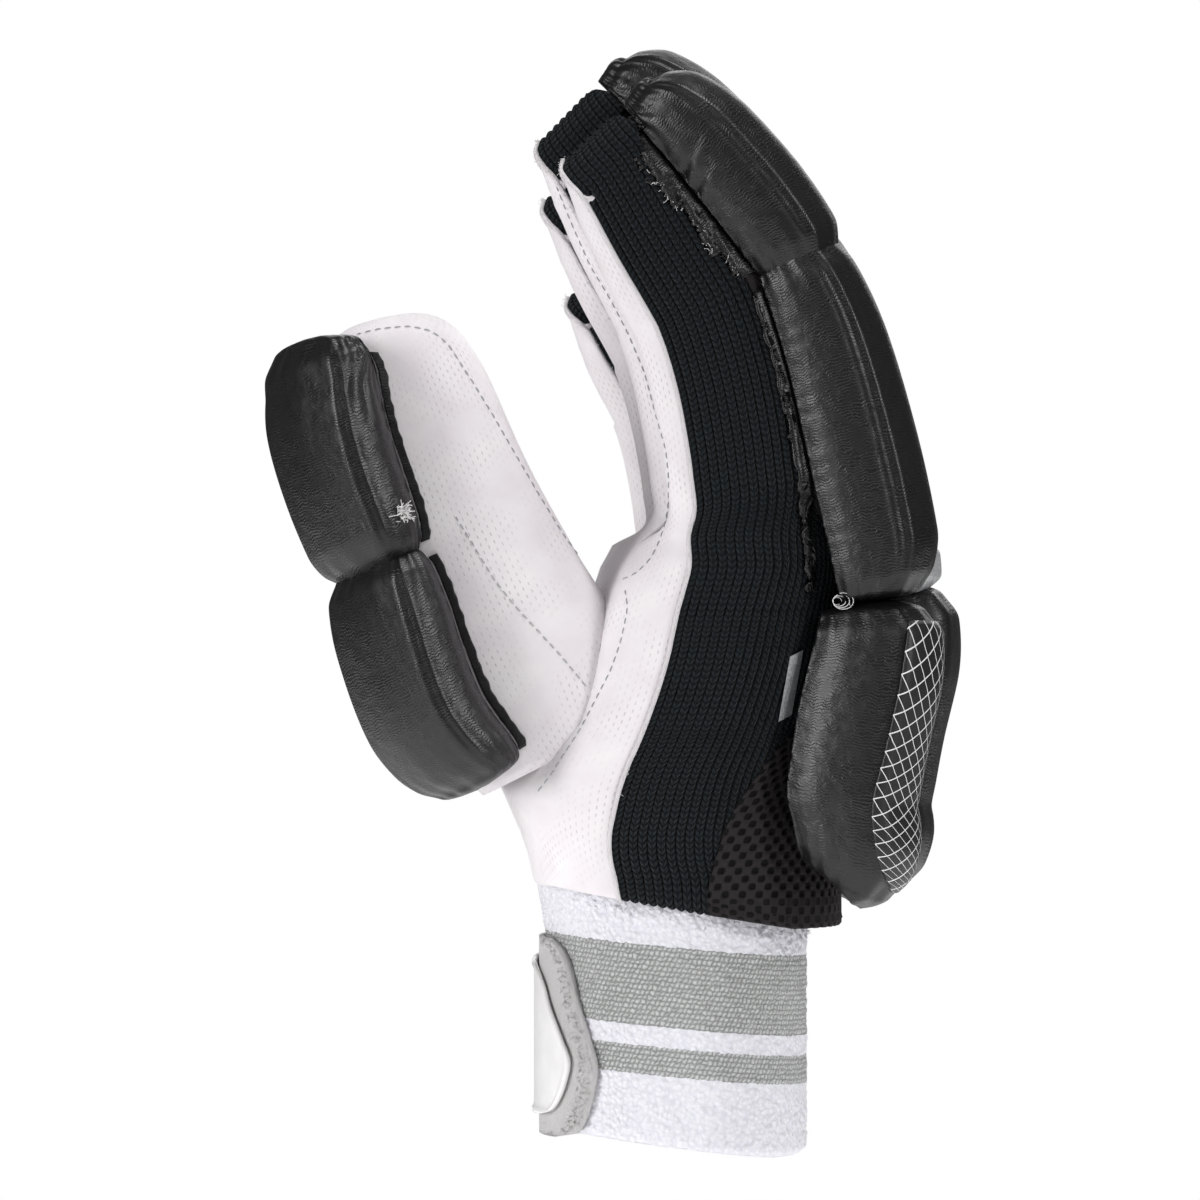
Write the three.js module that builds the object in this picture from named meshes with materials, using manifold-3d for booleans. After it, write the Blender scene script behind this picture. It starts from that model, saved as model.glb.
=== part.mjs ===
// A cricket batting glove for the right hand, empty and open at the wrist.
// Millimetres. +Z runs up from the cuff to the fingertips, the palm faces -X
// and the thumb side faces -Y. The origin is the middle of the wrist opening.
import * as THREE from "three";
import Module from "manifold-3d";

const wasm = await Module();
wasm.setup();

// Walls and clearances
const clearance = 0.3;
const leatherWall = 1.6;
const knitWall = 2;
const backWall = 2.2;
const meshWall = 2.4;
const towelWall = 2.6;

// Hand
const wristHeight = 62;
const handHeight = 112;
const handDepth = 60;
const handBreadth = 96;
const backArch = 6;
const handSquareness = 2.9;
const hemSkirt = 14;
const hemPalmHeight = 66;
const hemBackHeight = 55.5;

// Fingers
const fingerPitch = handBreadth / 4;
const fingerWidth = fingerPitch * 0.933;
const fingerLength = 138;
const knuckleBack = handDepth * 0.658;
const knuckleHeight = wristHeight + handHeight * 0.777;
const palmStrip = 6.2;
const palmStripTaper = 0.1;
const fingerSquareness = 2.7;
const backFlange = 4;
const knitTipShare = 0.955;

// Thumb
const thumbLength = 119;
const thumbWidth = 46;
const thumbThickness = 31;
const thumbRootX = handDepth * -0.483;
const thumbRootHeight = wristHeight + handHeight * 0.321;
const thumbRootSide = handBreadth / 4;
const thumbBulge = 3;
const thumbSquareness = 2.3;

// Cuff and strap
const cuffHeight = 70;
const cuffDrop = 3;
const cuffDepth = handDepth * 1.1;
const cuffBreadth = handBreadth * 0.8125;
const cuffCentre = 0.8;
const cuffSquareness = 2.25;
const cuffTuck = 5;
const cuffHemFrom = -0.35;
const cuffHemTo = 0.4;
const strapWidth = 50;
const strapThickness = 1.8;
const strapBase = 2;
const strapFarReach = 14;
const patchThickness = 1;
const patchInset = 5;

// Pads
const padWidth = fingerPitch * 1.025;
const padFoot = 3;
const handPadLean = 0.4;
const thumbPadTurn = 38;
const thumbPadReach = 0.93;
const netThickness = 1.2;
const tabLength = 18;
const tabWidth = 3.4;
const tabThickness = 0.8;
const tabHeight = wristHeight + handHeight * 0.402;
const tabLean = 0.16;

// Colours
const black = 0x1c1b1d;
const knitBlack = 0x151a20;
const meshBrown = 0x1b1614;
const white = 0xebe6ec;
const towelWhite = 0xe9e9f3;
const silver = 0xb4b6b8;

// Hand sections from the hem to the finger roots: heights are shares of
// handHeight, palm, back and cup shares of handDepth, breadth of handBreadth.
const handSections = [
  { up: -0.063, palm: -0.6, back: 0.6, breadth: 0.86, cup: 0 },
  { up: 0.0, palm: -0.59, back: 0.6, breadth: 0.86, cup: 0 },
  { up: 0.11, palm: -0.625, back: 0.555, breadth: 0.9, cup: 0 },
  { up: 0.19, palm: -0.685, back: 0.53, breadth: 0.93, cup: 0 },
  { up: 0.25, palm: -0.73, back: 0.51, breadth: 0.95, cup: 0.01 },
  { up: 0.31, palm: -0.68, back: 0.525, breadth: 0.965, cup: 0.02 },
  { up: 0.4, palm: -0.515, back: 0.55, breadth: 0.98, cup: 0.03 },
  { up: 0.65, palm: -0.34, back: 0.645, breadth: 1.0, cup: 0.05 },
  { up: 0.73, palm: -0.21, back: 0.655, breadth: 1.0, cup: 0.12 },
  { up: 0.8, palm: -0.09, back: 0.655, breadth: 1.0, cup: 0.21 },
  { up: 0.93, palm: -0.025, back: 0.6, breadth: 1.0, cup: 0.21 },
  { up: 1.0, palm: 0.05, back: 0.52, breadth: 0.97, cup: 0.19 },
];

// Where the ribbed knit meets the leather (palm) and the backing (back) on
// the sides of the hand: shares of handHeight and handDepth.
const sideSeams = [
  { up: -0.2, palm: -0.225, back: 0.9 },
  { up: 0.0, palm: -0.235, back: 0.51 },
  { up: 0.13, palm: -0.275, back: 0.49 },
  { up: 0.225, palm: -0.245, back: 0.45 },
  { up: 0.29, palm: -0.208, back: 0.445 },
  { up: 0.38, palm: -0.135, back: 0.48 },
  { up: 0.53, palm: -0.04, back: 0.53 },
  { up: 0.66, palm: 0.015, back: 0.62 },
  { up: 0.74, palm: 0.06, back: 0.62 },
];

// The air mesh at the back of the wrist: its slanting upper edge.
const meshEdge = [
  { up: -0.3, out: 0.1 },
  { up: 0.0, out: 0.13 },
  { up: 0.16, out: 0.2 },
  { up: 0.23, out: 0.26 },
  { up: 0.32, out: 0.37 },
  { up: 0.372, out: 0.46 },
  { up: 0.385, out: 0.6 },
  { up: 0.39, out: 1.4 },
];

// The printed net panel on the thumb-side hand pad: the edge nearest the palm.
const netEdge = [
  { up: 0.03, out: 0.9 },
  { up: 0.1, out: 0.835 },
  { up: 0.2, out: 0.81 },
  { up: 0.35, out: 0.87 },
  { up: 0.5, out: 0.93 },
  { up: 0.615, out: 0.965 },
];

// Sections along a finger from its root in the hand to its tip: bend is the
// lean of the finger's back from upright in degrees, depth and width are
// shares of the finger's own, sink is the back's drop as a share of depth.
const fingerSections = [
  { along: -0.05, bend: 11, depth: 1.0, width: 0.98, sink: 0.0 },
  { along: 0.12, bend: 13, depth: 1.0, width: 1.0, sink: 0.0 },
  { along: 0.25, bend: 12, depth: 0.965, width: 1.0, sink: 0.0 },
  { along: 0.46, bend: 18, depth: 0.94, width: 1.0, sink: 0.0 },
  { along: 0.53, bend: 23, depth: 0.935, width: 1.0, sink: 0.0 },
  { along: 0.61, bend: 34, depth: 0.92, width: 0.99, sink: 0.0 },
  { along: 0.7, bend: 38, depth: 0.88, width: 0.97, sink: 0.0 },
  { along: 0.8, bend: 39, depth: 0.81, width: 0.95, sink: 0.0 },
  { along: 0.89, bend: 43, depth: 0.73, width: 0.92, sink: 0.0 },
  { along: 0.96, bend: 44, depth: 0.65, width: 0.86, sink: 0.0 },
  { along: 0.99, bend: 44, depth: 0.54, width: 0.72, sink: 0.05 },
  { along: 1.0, bend: 44, depth: 0.4, width: 0.52, sink: 0.12 },
];

// One row for each finger: length is a share of fingerLength, depth, lift and
// padThickness of handDepth. lift moves the finger's back away from the palm,
// slope is the rise of the back across the finger, curl scales its bend.
const fingerRows = [
  {
    name: "index",
    column: -1.5,
    length: 0.92,
    depth: 0.625,
    lift: 0,
    slope: 0.34,
    curl: 1,
    heel: -0.085,
    padThickness: 0.342,
  },
  {
    name: "middle",
    column: -0.5,
    length: 1,
    depth: 0.708,
    lift: 0.025,
    slope: 0.08,
    curl: 1.04,
    heel: 0.055,
    padThickness: 0.358,
  },
  {
    name: "ring",
    column: 0.5,
    length: 0.906,
    depth: 0.7,
    lift: -0.017,
    slope: -0.08,
    curl: 1.1,
    heel: 0.06,
    padThickness: 0.367,
  },
  {
    name: "little",
    column: 1.5,
    length: 0.703,
    depth: 0.642,
    lift: -0.133,
    slope: -0.3,
    curl: 1.14,
    heel: -0.085,
    padThickness: 0.325,
  },
];
const fingers = fingerRows.map((row) => ({
  ...row,
  length: row.length * fingerLength,
  depth: row.depth * handDepth,
  lift: row.lift * handDepth,
  padThickness: row.padThickness * handDepth,
}));

// Thumb sections from its root in the palm to its tip; bend leans towards -X.
const thumbSections = [
  { along: 0.0, bend: 27, width: 0.94, thickness: 0.9 },
  { along: 0.2, bend: 26, width: 1.2, thickness: 1.0 },
  { along: 0.4, bend: 23, width: 1.09, thickness: 1.0 },
  { along: 0.6, bend: 22, width: 1.02, thickness: 0.97 },
  { along: 0.8, bend: 19, width: 0.96, thickness: 0.9 },
  { along: 0.91, bend: 16, width: 0.84, thickness: 0.78 },
  { along: 0.97, bend: 14, width: 0.66, thickness: 0.6 },
  { along: 1.0, bend: 13, width: 0.4, thickness: 0.36 },
];

// Pad cross-section: across is a share of the pad's width, height of its
// thickness; a sewn pad has flat cheeks, a shoulder and a low crown.
const padOutline = [
  { across: -0.43, height: 0.0 },
  { across: -0.5, height: 0.3 },
  { across: -0.48, height: 0.64 },
  { across: -0.32, height: 0.91 },
  { across: 0.0, height: 1.0 },
  { across: 0.32, height: 0.91 },
  { across: 0.48, height: 0.64 },
  { across: 0.5, height: 0.3 },
  { across: 0.43, height: 0.0 },
];

// Fingertip pad and finger pad, from the tip end down: along is a share of
// the pad's length, lean slides the crown along the finger.
const tipPadSections = [
  { along: 0.0, width: 0.52, height: 0.36, lean: 0.05 },
  { along: 0.05, width: 0.72, height: 0.55, lean: 0.12 },
  { along: 0.17, width: 0.9, height: 0.8, lean: 0.16 },
  { along: 0.4, width: 0.99, height: 0.97, lean: 0.1 },
  { along: 0.7, width: 1.0, height: 1.02, lean: -0.04 },
  { along: 0.92, width: 0.97, height: 1.0, lean: -0.16 },
  { along: 1.0, width: 0.86, height: 0.86, lean: -0.22 },
];
const fingerPadSections = [
  { along: 0.0, width: 0.86, height: 0.84, lean: 0.1 },
  { along: 0.07, width: 0.98, height: 0.97, lean: 0.08 },
  { along: 0.3, width: 1.0, height: 1.02, lean: 0.05 },
  { along: 0.65, width: 1.0, height: 1.06, lean: 0.0 },
  { along: 0.85, width: 1.0, height: 1.08, lean: -0.03 },
  { along: 0.95, width: 0.98, height: 0.98, lean: -0.05 },
  { along: 1.0, width: 0.88, height: 0.82, lean: -0.05 },
];
const padSeats = [
  { name: "tip_pad", from: 0.985, to: 0.575, sections: tipPadSections },
  { name: "finger_pad", from: 0.56, sections: fingerPadSections },
];

// Back of the hand: pads side by side. centre and width are shares of
// handBreadth, thickness and lift of handDepth, low and high of handHeight.
const handPadSections = [
  { along: 0.0, width: 0.88, height: 0.76, lean: 0.1 },
  { along: 0.08, width: 0.98, height: 0.92, lean: 0.08 },
  { along: 0.3, width: 1.0, height: 1.0, lean: 0.0 },
  { along: 0.6, width: 0.99, height: 0.97, lean: -0.1 },
  { along: 0.85, width: 0.96, height: 0.92, lean: -0.25 },
  { along: 0.95, width: 0.9, height: 0.8, lean: -0.35 },
  { along: 1.0, width: 0.78, height: 0.6, lean: -0.42 },
];
const knuckleSections = [
  { along: 0.0, width: 0.9, height: 0.8, lean: 0.0 },
  { along: 0.25, width: 1.0, height: 1.0, lean: 0.0 },
  { along: 0.75, width: 1.0, height: 1.02, lean: 0.0 },
  { along: 1.0, width: 0.94, height: 0.88, lean: 0.0 },
];
const handPads = [
  {
    name: "hand_pad_thumb_side",
    centre: -0.35,
    width: 0.29,
    slope: 0.42,
    thickness: 0.467,
    lift: 0,
    low: 0.075,
    high: 0.635,
  },
  {
    name: "hand_pad_middle",
    centre: 0,
    width: 0.375,
    slope: 0,
    thickness: 0.442,
    lift: 0.033,
    low: 0.1,
    high: 0.67,
  },
  {
    name: "knuckle_patch",
    centre: 0,
    width: 0.47,
    slope: 0,
    thickness: 0.35,
    lift: 0.033,
    low: 0.705,
    high: 0.81,
    sections: knuckleSections,
  },
  {
    name: "hand_pad_outer",
    centre: 0.35,
    width: 0.29,
    slope: -0.42,
    thickness: 0.417,
    lift: 0,
    low: 0.08,
    high: 0.63,
  },
];

// Thumb pads from tip to root: from and to are shares of thumbLength, width of
// thumbWidth and thickness of thumbThickness.
const thumbPadSections = [
  { along: 0.0, width: 0.8, height: 0.66, lean: 0.1 },
  { along: 0.08, width: 0.95, height: 0.88, lean: 0.06 },
  { along: 0.3, width: 1.02, height: 1.0, lean: 0.02 },
  { along: 0.6, width: 1.0, height: 1.03, lean: 0.0 },
  { along: 0.85, width: 0.98, height: 0.98, lean: 0.0 },
  { along: 0.95, width: 0.92, height: 0.86, lean: -0.04 },
  { along: 1.0, width: 0.8, height: 0.68, lean: -0.08 },
];
const thumbPads = [
  { name: "thumb_tip_pad", from: 0.965, to: 0.525, width: 0.783, thickness: 0.5 },
  { name: "thumb_pad", from: 0.51, to: 0.0, width: 0.804, thickness: 0.5 },
];

const towardsThumb = -1;
const farReach = 400;

function readTable(rows, key, column, at) {
  const last = rows.length - 1;
  const above = rows.findIndex((row) => row[key] >= at);
  const upper = above < 0 ? last : Math.max(above, 1);
  const low = rows[upper - 1];
  const high = rows[upper];
  const share = THREE.MathUtils.clamp((at - low[key]) / (high[key] - low[key]), 0, 1);
  return THREE.MathUtils.lerp(low[column], high[column], share);
}

// Solids
function solidFromFaces(points, faces) {
  const build = (turn) =>
    new wasm.Manifold(
      new wasm.Mesh({
        numProp: 3,
        vertProperties: new Float32Array(points.flatMap((p) => [p.x, p.y, p.z])),
        triVerts: new Uint32Array(faces.flatMap(turn)),
      }),
    );
  const made = build((face) => face);
  return made.volume() > 0 ? made : build(([a, b, c]) => [a, c, b]);
}

function solidFromRings(rings) {
  const count = rings[0].length;
  const points = rings.flat();
  const faces = [];
  for (let row = 1; row < rings.length; row += 1)
    for (let i = 0; i < count; i += 1) {
      const next = (i + 1) % count;
      const low = (row - 1) * count;
      const high = row * count;
      faces.push([low + i, low + next, high + next], [low + i, high + next, high + i]);
    }
  [rings[0], rings[rings.length - 1]].forEach((ring, end) => {
    const middle = ring.reduce((sum, p) => sum.add(p), new THREE.Vector3()).divideScalar(count);
    const hub = points.push(middle) - 1;
    const start = end * (rings.length - 1) * count;
    for (let i = 0; i < count; i += 1) {
      const next = (i + 1) % count;
      faces.push(end ? [hub, start + i, start + next] : [hub, start + next, start + i]);
    }
  });
  return solidFromFaces(points, faces);
}

// A flat outline in X and Z, drawn out along Y from one side to the other.
function slab(outline, fromY, toY) {
  const ring = (y) => outline.map(([x, z]) => new THREE.Vector3(x, y, z));
  const shape = new THREE.Shape(outline.map(([x, z]) => new THREE.Vector2(x, z)));
  const points = [...ring(fromY), ...ring(toY)];
  const count = outline.length;
  const caps = THREE.ShapeUtils.triangulateShape(shape.getPoints(), []);
  const turned = THREE.ShapeUtils.isClockWise(shape.getPoints());
  const faces = [];
  caps.forEach(([a, b, c]) => {
    faces.push([a, b, c], [c + count, b + count, a + count]);
  });
  for (let i = 0; i < count; i += 1) {
    const next = (i + 1) % count;
    const quad = [
      [i, i + count, next + count],
      [i, next + count, next],
    ];
    faces.push(...(turned ? quad.map(([a, b, c]) => [a, c, b]) : quad));
  }
  return solidFromFaces(points, faces);
}

function join(solids) {
  return solids.reduce((sum, solid) => sum.add(solid));
}

// A rounded outline: shares of half the depth and half the width.
function roundedOutline(sides, squareness) {
  const soften = (value) => Math.sign(value) * Math.abs(value) ** (2 / squareness);
  return Array.from({ length: sides }, (_, i) => {
    const turn = ((i + 0.5) / sides) * 2 * Math.PI;
    return { out: soften(Math.cos(turn)), across: soften(Math.sin(turn)) };
  });
}

const handOutline = roundedOutline(18, handSquareness);
const fingerOutline = roundedOutline(12, fingerSquareness);
const thumbOutline = roundedOutline(14, thumbSquareness);
const cuffOutline = roundedOutline(24, cuffSquareness);

// Lines of the hand
const heightAt = (up) => wristHeight + up * handHeight;

function handRing(row, grow, z) {
  const half = (row.breadth * handBreadth) / 2 + grow;
  return handOutline.map(({ out, across }) => {
    const cup = (row.cup * handDepth * (across + 1)) / 2;
    const palm = row.palm * handDepth - cup - grow;
    const back = row.back * handDepth + backArch * (1 - across ** 2) + grow;
    const x = THREE.MathUtils.lerp(palm, back, (out + 1) / 2);
    return new THREE.Vector3(x, across * half, z);
  });
}

function handForm(grow) {
  const last = handSections.length - 1;
  const rings = handSections.map((row, i) => {
    const end = i === 0 ? -hemSkirt + grow : 0;
    return handRing(row, grow, heightAt(row.up) + end + (i === last ? grow : 0));
  });
  return solidFromRings(rings);
}

// A finger's or thumb's own line: points and leans at each share of length.
function bentLine(start, length, rows, curl, from) {
  const steps = 80;
  const top = rows[rows.length - 1].along;
  const line = [];
  const point = start.clone();
  const stepShare = (top - from) / steps;
  for (let i = 0; i <= steps; i += 1) {
    const along = from + i * stepShare;
    const lean = THREE.MathUtils.degToRad(readTable(rows, "along", "bend", along) * curl);
    line.push({ along, x: point.x, z: point.z, lean });
    point.x -= Math.sin(lean) * stepShare * length;
    point.z += Math.cos(lean) * stepShare * length;
  }
  return line;
}

function frameAt(line, along) {
  const lean = readTable(line, "along", "lean", along);
  return {
    origin: new THREE.Vector3(
      readTable(line, "along", "x", along),
      0,
      readTable(line, "along", "z", along),
    ),
    up: new THREE.Vector3(-Math.sin(lean), 0, Math.cos(lean)),
    out: new THREE.Vector3(Math.cos(lean), 0, Math.sin(lean)),
  };
}

function place(frame, out, y, up = 0) {
  const point = frame.origin.clone();
  point.addScaledVector(frame.out, out).addScaledVector(frame.up, up);
  point.y += y;
  return point;
}

const fingerFrom = fingerSections[0].along;
fingers.forEach((finger) => {
  finger.side = finger.column * fingerPitch;
  const lead = fingerFrom * finger.length;
  const lean = THREE.MathUtils.degToRad(fingerSections[0].bend * finger.curl);
  const root = new THREE.Vector3(
    knuckleBack + finger.lift - Math.sin(lean) * lead,
    0,
    knuckleHeight + Math.cos(lean) * lead,
  );
  finger.line = bentLine(root, finger.length, fingerSections, finger.curl, fingerFrom);
});

function fingerRise(finger, across, half) {
  return finger.slope * half * (across + Math.sign(finger.slope));
}

function fingerForm(finger, grow) {
  const last = fingerSections.length - 1;
  const rings = fingerSections.map((row, i) => {
    const frame = frameAt(finger.line, row.along);
    const half = (row.width * fingerWidth) / 2 + grow;
    const top = grow - row.sink * finger.depth;
    const low = -(row.depth + row.sink) * finger.depth - grow;
    const slide = { 0: -grow, [last]: grow }[i] ?? 0;
    return fingerOutline.map(({ out, across }) => {
      const share = (out + 1) / 2;
      const rise = fingerRise(finger, across, half) * share * row.depth;
      const x = THREE.MathUtils.lerp(low, top, share) + rise;
      return place(frame, x, finger.side + across * half, slide);
    });
  });
  return solidFromRings(rings);
}

function gloveForm(grow) {
  return join([handForm(grow), ...fingers.map((finger) => fingerForm(finger, grow))]);
}

// Seam lines: where the leather, the knit and the backing part in side view.
const seamRows = [0.12, 0.3, 0.46, 0.58, 0.7, 0.85, knitTipShare];

function fingerSeam(finger, side, shift) {
  return seamRows.map((along) => {
    const frame = frameAt(finger.line, along);
    const depth = readTable(fingerSections, "along", "depth", along);
    const strip = palmStrip * Math.min(1, depth ** 2 + palmStripTaper);
    const out = side === "palm" ? -depth * finger.depth + strip : -backFlange;
    const point = place(frame, out + shift, 0);
    return [point.x, point.z];
  });
}

function handSeam(finger, side, shift) {
  return sideSeams.map((row) => [
    row[side] * handDepth + shift + (side === "palm" ? 0 : Math.min(finger.lift, 0)),
    heightAt(row.up),
  ]);
}

function columnSlab(finger, outline, gap = 0) {
  const first = finger === fingers[0];
  const last = finger === fingers[fingers.length - 1];
  const low = first ? -farReach : finger.side - fingerPitch / 2 + gap / 2;
  const high = last ? farReach : finger.side + fingerPitch / 2 - gap / 2;
  return slab(outline, low, high);
}

// Everything on the palm side of the leather's edge, one slab for each finger.
function palmRegion(shift) {
  return join(
    fingers.map((finger) => {
      const edge = [...handSeam(finger, "palm", shift), ...fingerSeam(finger, "palm", shift)];
      const frame = frameAt(finger.line, knitTipShare);
      const tip = edge[edge.length - 1];
      const lift = shift;
      const out = [tip[0] - frame.out.x * finger.depth, tip[1] - frame.out.z * finger.depth];
      edge[edge.length - 1] = [tip[0] + frame.up.x * lift, tip[1] + frame.up.z * lift];
      const outer = [out[0] + frame.up.x * lift, out[1] + frame.up.z * lift];
      return columnSlab(finger, [...edge, outer, [-farReach, outer[1]], [-farReach, -farReach],
        [edge[0][0], -farReach]]);
    }),
  );
}

function backRegion(shift) {
  return join(
    fingers.map((finger) => {
      const edge = [...handSeam(finger, "back", -shift), ...fingerSeam(finger, "back", -shift)];
      const frame = frameAt(finger.line, knitTipShare);
      const tip = edge[edge.length - 1];
      const raised = [tip[0] + frame.up.x * shift, tip[1] + frame.up.z * shift];
      edge[edge.length - 1] = raised;
      const outer = [raised[0] + frame.out.x * finger.depth, raised[1] + frame.out.z * finger.depth];
      return columnSlab(finger, [...edge, outer, [farReach, outer[1]], [farReach, -farReach],
        [edge[0][0], -farReach]]);
    }),
  );
}

function meshRegion(shift) {
  const edge = meshEdge.map((row) => [row.out * handDepth - shift, heightAt(row.up) + shift]);
  const last = edge[edge.length - 1];
  return slab([...edge, [farReach, last[1]], [farReach, -farReach], [edge[0][0], -farReach]],
    -farReach, farReach);
}

// Below the hem, which drops from the palm to the back of the wrist.
function belowHem(shift) {
  const half = handDepth / 2;
  const middle = (hemPalmHeight + hemBackHeight) / 2;
  const slope = (hemBackHeight - hemPalmHeight) / 2 / half;
  const at = (x) => middle + slope * x + shift;
  return slab(
    [
      [-farReach, at(-half)],
      [-half, at(-half)],
      [half, at(half)],
      [farReach, at(half)],
      [farReach, -farReach],
      [-farReach, -farReach],
    ],
    -farReach,
    farReach,
  );
}

// Thumb
const thumbLine = bentLine(
  new THREE.Vector3(thumbRootX, 0, thumbRootHeight),
  thumbLength,
  thumbSections,
  1,
  0,
);

function thumbForm(grow) {
  const last = thumbSections.length - 1;
  const rings = thumbSections.map((row, i) => {
    const frame = frameAt(thumbLine, row.along);
    const halfWidth = (row.width * thumbWidth) / 2 + grow;
    const halfThickness = (row.thickness * thumbThickness) / 2 + grow;
    const slide = { 0: -grow, [last]: grow }[i] ?? 0;
    return thumbOutline.map(({ out, across }) =>
      place(
        frame,
        out * halfWidth,
        towardsThumb * (thumbRootSide + thumbBulge * row.along) + across * halfThickness,
        slide,
      ),
    );
  });
  return solidFromRings(rings);
}

// Pads
function padPoint(seat, row, corner, size, grow, slide) {
  const { frame, side, turn } = seat(row.along);
  const across = corner.across * (size.width * row.width + 2 * grow);
  const crown = size.thickness * row.height + grow;
  const height = corner.height * (crown + padFoot) - padFoot;
  const lean = row.lean * size.thickness * corner.height;
  const out = height * Math.cos(turn) + across * Math.sin(turn);
  const y = side + across * Math.cos(turn) - height * Math.sin(turn);
  return place(frame, out, y, lean + slide);
}

function padForm(seat, sections, size, grow = 0) {
  const last = sections.length - 1;
  const rings = sections.map((row, i) => {
    const slide = { 0: grow, [last]: -grow }[i] ?? 0;
    return padOutline.map((corner) => padPoint(seat, row, corner, size, grow, slide));
  });
  return solidFromRings(rings);
}

function fingerSeat(finger, pad) {
  const turn = Math.atan(finger.slope);
  const rise = Math.abs(finger.slope) * (fingerWidth / 2);
  return (share) => {
    const along = THREE.MathUtils.lerp(pad.from, pad.to ?? finger.heel, share);
    const frame = frameAt(finger.line, along);
    frame.origin.addScaledVector(frame.out, rise);
    frame.origin.addScaledVector(frame.up, Math.min(along - fingerFrom, 0) * finger.length);
    return { frame, side: finger.side, turn };
  };
}

function handSeat(pad) {
  const turn = Math.atan(pad.slope);
  return (share) => {
    const up = THREE.MathUtils.lerp(pad.high, pad.low, share);
    const back = readTable(handSections, "up", "back", up) * handDepth;
    const arch = backArch * (1 - (2 * pad.centre) ** 2);
    const step = 0.02;
    const above = readTable(handSections, "up", "back", up + step) * handDepth;
    const below = readTable(handSections, "up", "back", up - step) * handDepth;
    const lean = Math.atan2(below - above, 2 * step * handHeight) * handPadLean;
    const frame = {
      origin: new THREE.Vector3(back + arch + pad.lift * handDepth, 0, heightAt(up)),
      up: new THREE.Vector3(-Math.sin(lean), 0, Math.cos(lean)),
      out: new THREE.Vector3(Math.cos(lean), 0, Math.sin(lean)),
    };
    return { frame, side: pad.centre * handBreadth, turn };
  };
}

function thumbSeat(pad) {
  const turn = THREE.MathUtils.degToRad(thumbPadTurn);
  return (share) => {
    const along = THREE.MathUtils.lerp(pad.from, pad.to, share);
    const held = THREE.MathUtils.clamp(along, 0, 0.9);
    const base = frameAt(thumbLine, along);
    const halfWidth = (readTable(thumbSections, "along", "width", held) * thumbWidth) / 2;
    const halfThickness = (readTable(thumbSections, "along", "thickness", held) * thumbThickness) / 2;
    const out = base.out.clone().negate();
    const side = towardsThumb * (thumbRootSide + thumbBulge * along);
    const frame = { origin: base.origin.clone(), up: base.up, out };
    frame.origin.addScaledVector(out, halfWidth * Math.cos(turn) * thumbPadReach);
    return { frame, side: side - halfThickness * Math.sin(turn) * thumbPadReach, turn };
  };
}

// Cuff and strap
function cuffRing(z, grow) {
  return cuffOutline.map(
    ({ out, across }) =>
      new THREE.Vector3(
        cuffCentre + out * (cuffDepth / 2 + grow),
        across * (cuffBreadth / 2 + grow),
        z,
      ),
  );
}

function cuffForm(grow) {
  const top = cuffHeight - cuffDrop + cuffTuck + 1;
  return solidFromRings([-cuffDrop * 4 + grow, top - grow].map((z) => cuffRing(z, grow)));
}

// The slanting lower hem of the cuff.
function belowCuff() {
  return slab(
    [
      [-farReach, cuffDrop],
      [cuffDepth * cuffHemFrom, cuffDrop],
      [cuffDepth * cuffHemTo, -cuffDrop],
      [farReach, -cuffDrop],
      [farReach, -farReach],
      [-farReach, -farReach],
    ],
    -farReach,
    farReach,
  );
}

// The strap's rounded end on the thumb side: heights are shares of its width,
// reach is how far round it comes, as a share of cuffDepth.
const strapEnd = [
  { up: 0.0, reach: -0.43 },
  { up: 0.03, reach: -0.36 },
  { up: 0.11, reach: -0.325 },
  { up: 0.23, reach: -0.3 },
  { up: 0.35, reach: -0.287 },
  { up: 0.52, reach: -0.318 },
  { up: 0.7, reach: -0.358 },
  { up: 0.86, reach: -0.385 },
  { up: 0.96, reach: -0.42 },
  { up: 1.0, reach: -0.455 },
];

function strapRegion(inset) {
  const low = strapBase + inset;
  const width = strapWidth - 2 * inset;
  const edge = strapEnd.map((row) => [row.reach * cuffDepth - inset, low + row.up * width]);
  const near = slab([...edge, [-farReach, low + width], [-farReach, low]], -farReach, 0);
  const reach = strapFarReach - inset * 2;
  const far = [
    [reach, low],
    [reach, low + width],
    [-farReach, low + width],
    [-farReach, low],
  ];
  return near.add(slab(far, 0, farReach));
}

function cuffBand(foot, thickness) {
  return cuffForm(foot + thickness).subtract(cuffForm(foot));
}

// Pieces
const wholeView = [
  [-farReach, -farReach],
  [farReach, -farReach],
  [farReach, farReach],
  [-farReach, farReach],
];

const outer = gloveForm(0);
const cleared = gloveForm(clearance);
const thumbOuter = thumbForm(0);

function wall(inner) {
  return outer.subtract(inner).subtract(belowHem(0));
}

const leatherInner = gloveForm(-leatherWall);
const pieces = [];

function addPiece(name, solid, colour, roughness, metalness = 0) {
  pieces.push({ name, solid, colour, roughness, metalness });
}

const palmLeather = wall(leatherInner)
  .intersect(palmRegion(0))
  .subtract(thumbForm(-leatherWall - clearance));
addPiece("palm_leather", palmLeather, white, 0.85);

const thumbSleeve = thumbOuter
  .subtract(thumbForm(-leatherWall))
  .subtract(cleared)
  .subtract(leatherInner);
addPiece("thumb_sleeve", thumbSleeve, white, 0.85);

const backPanel = wall(gloveForm(-backWall))
  .intersect(backRegion(0))
  .subtract(meshRegion(clearance));
addPiece("back_panel", backPanel, black, 0.7);

addPiece(
  "wrist_mesh",
  wall(gloveForm(-meshWall)).intersect(meshRegion(0)),
  meshBrown,
  0.9,
);

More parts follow.
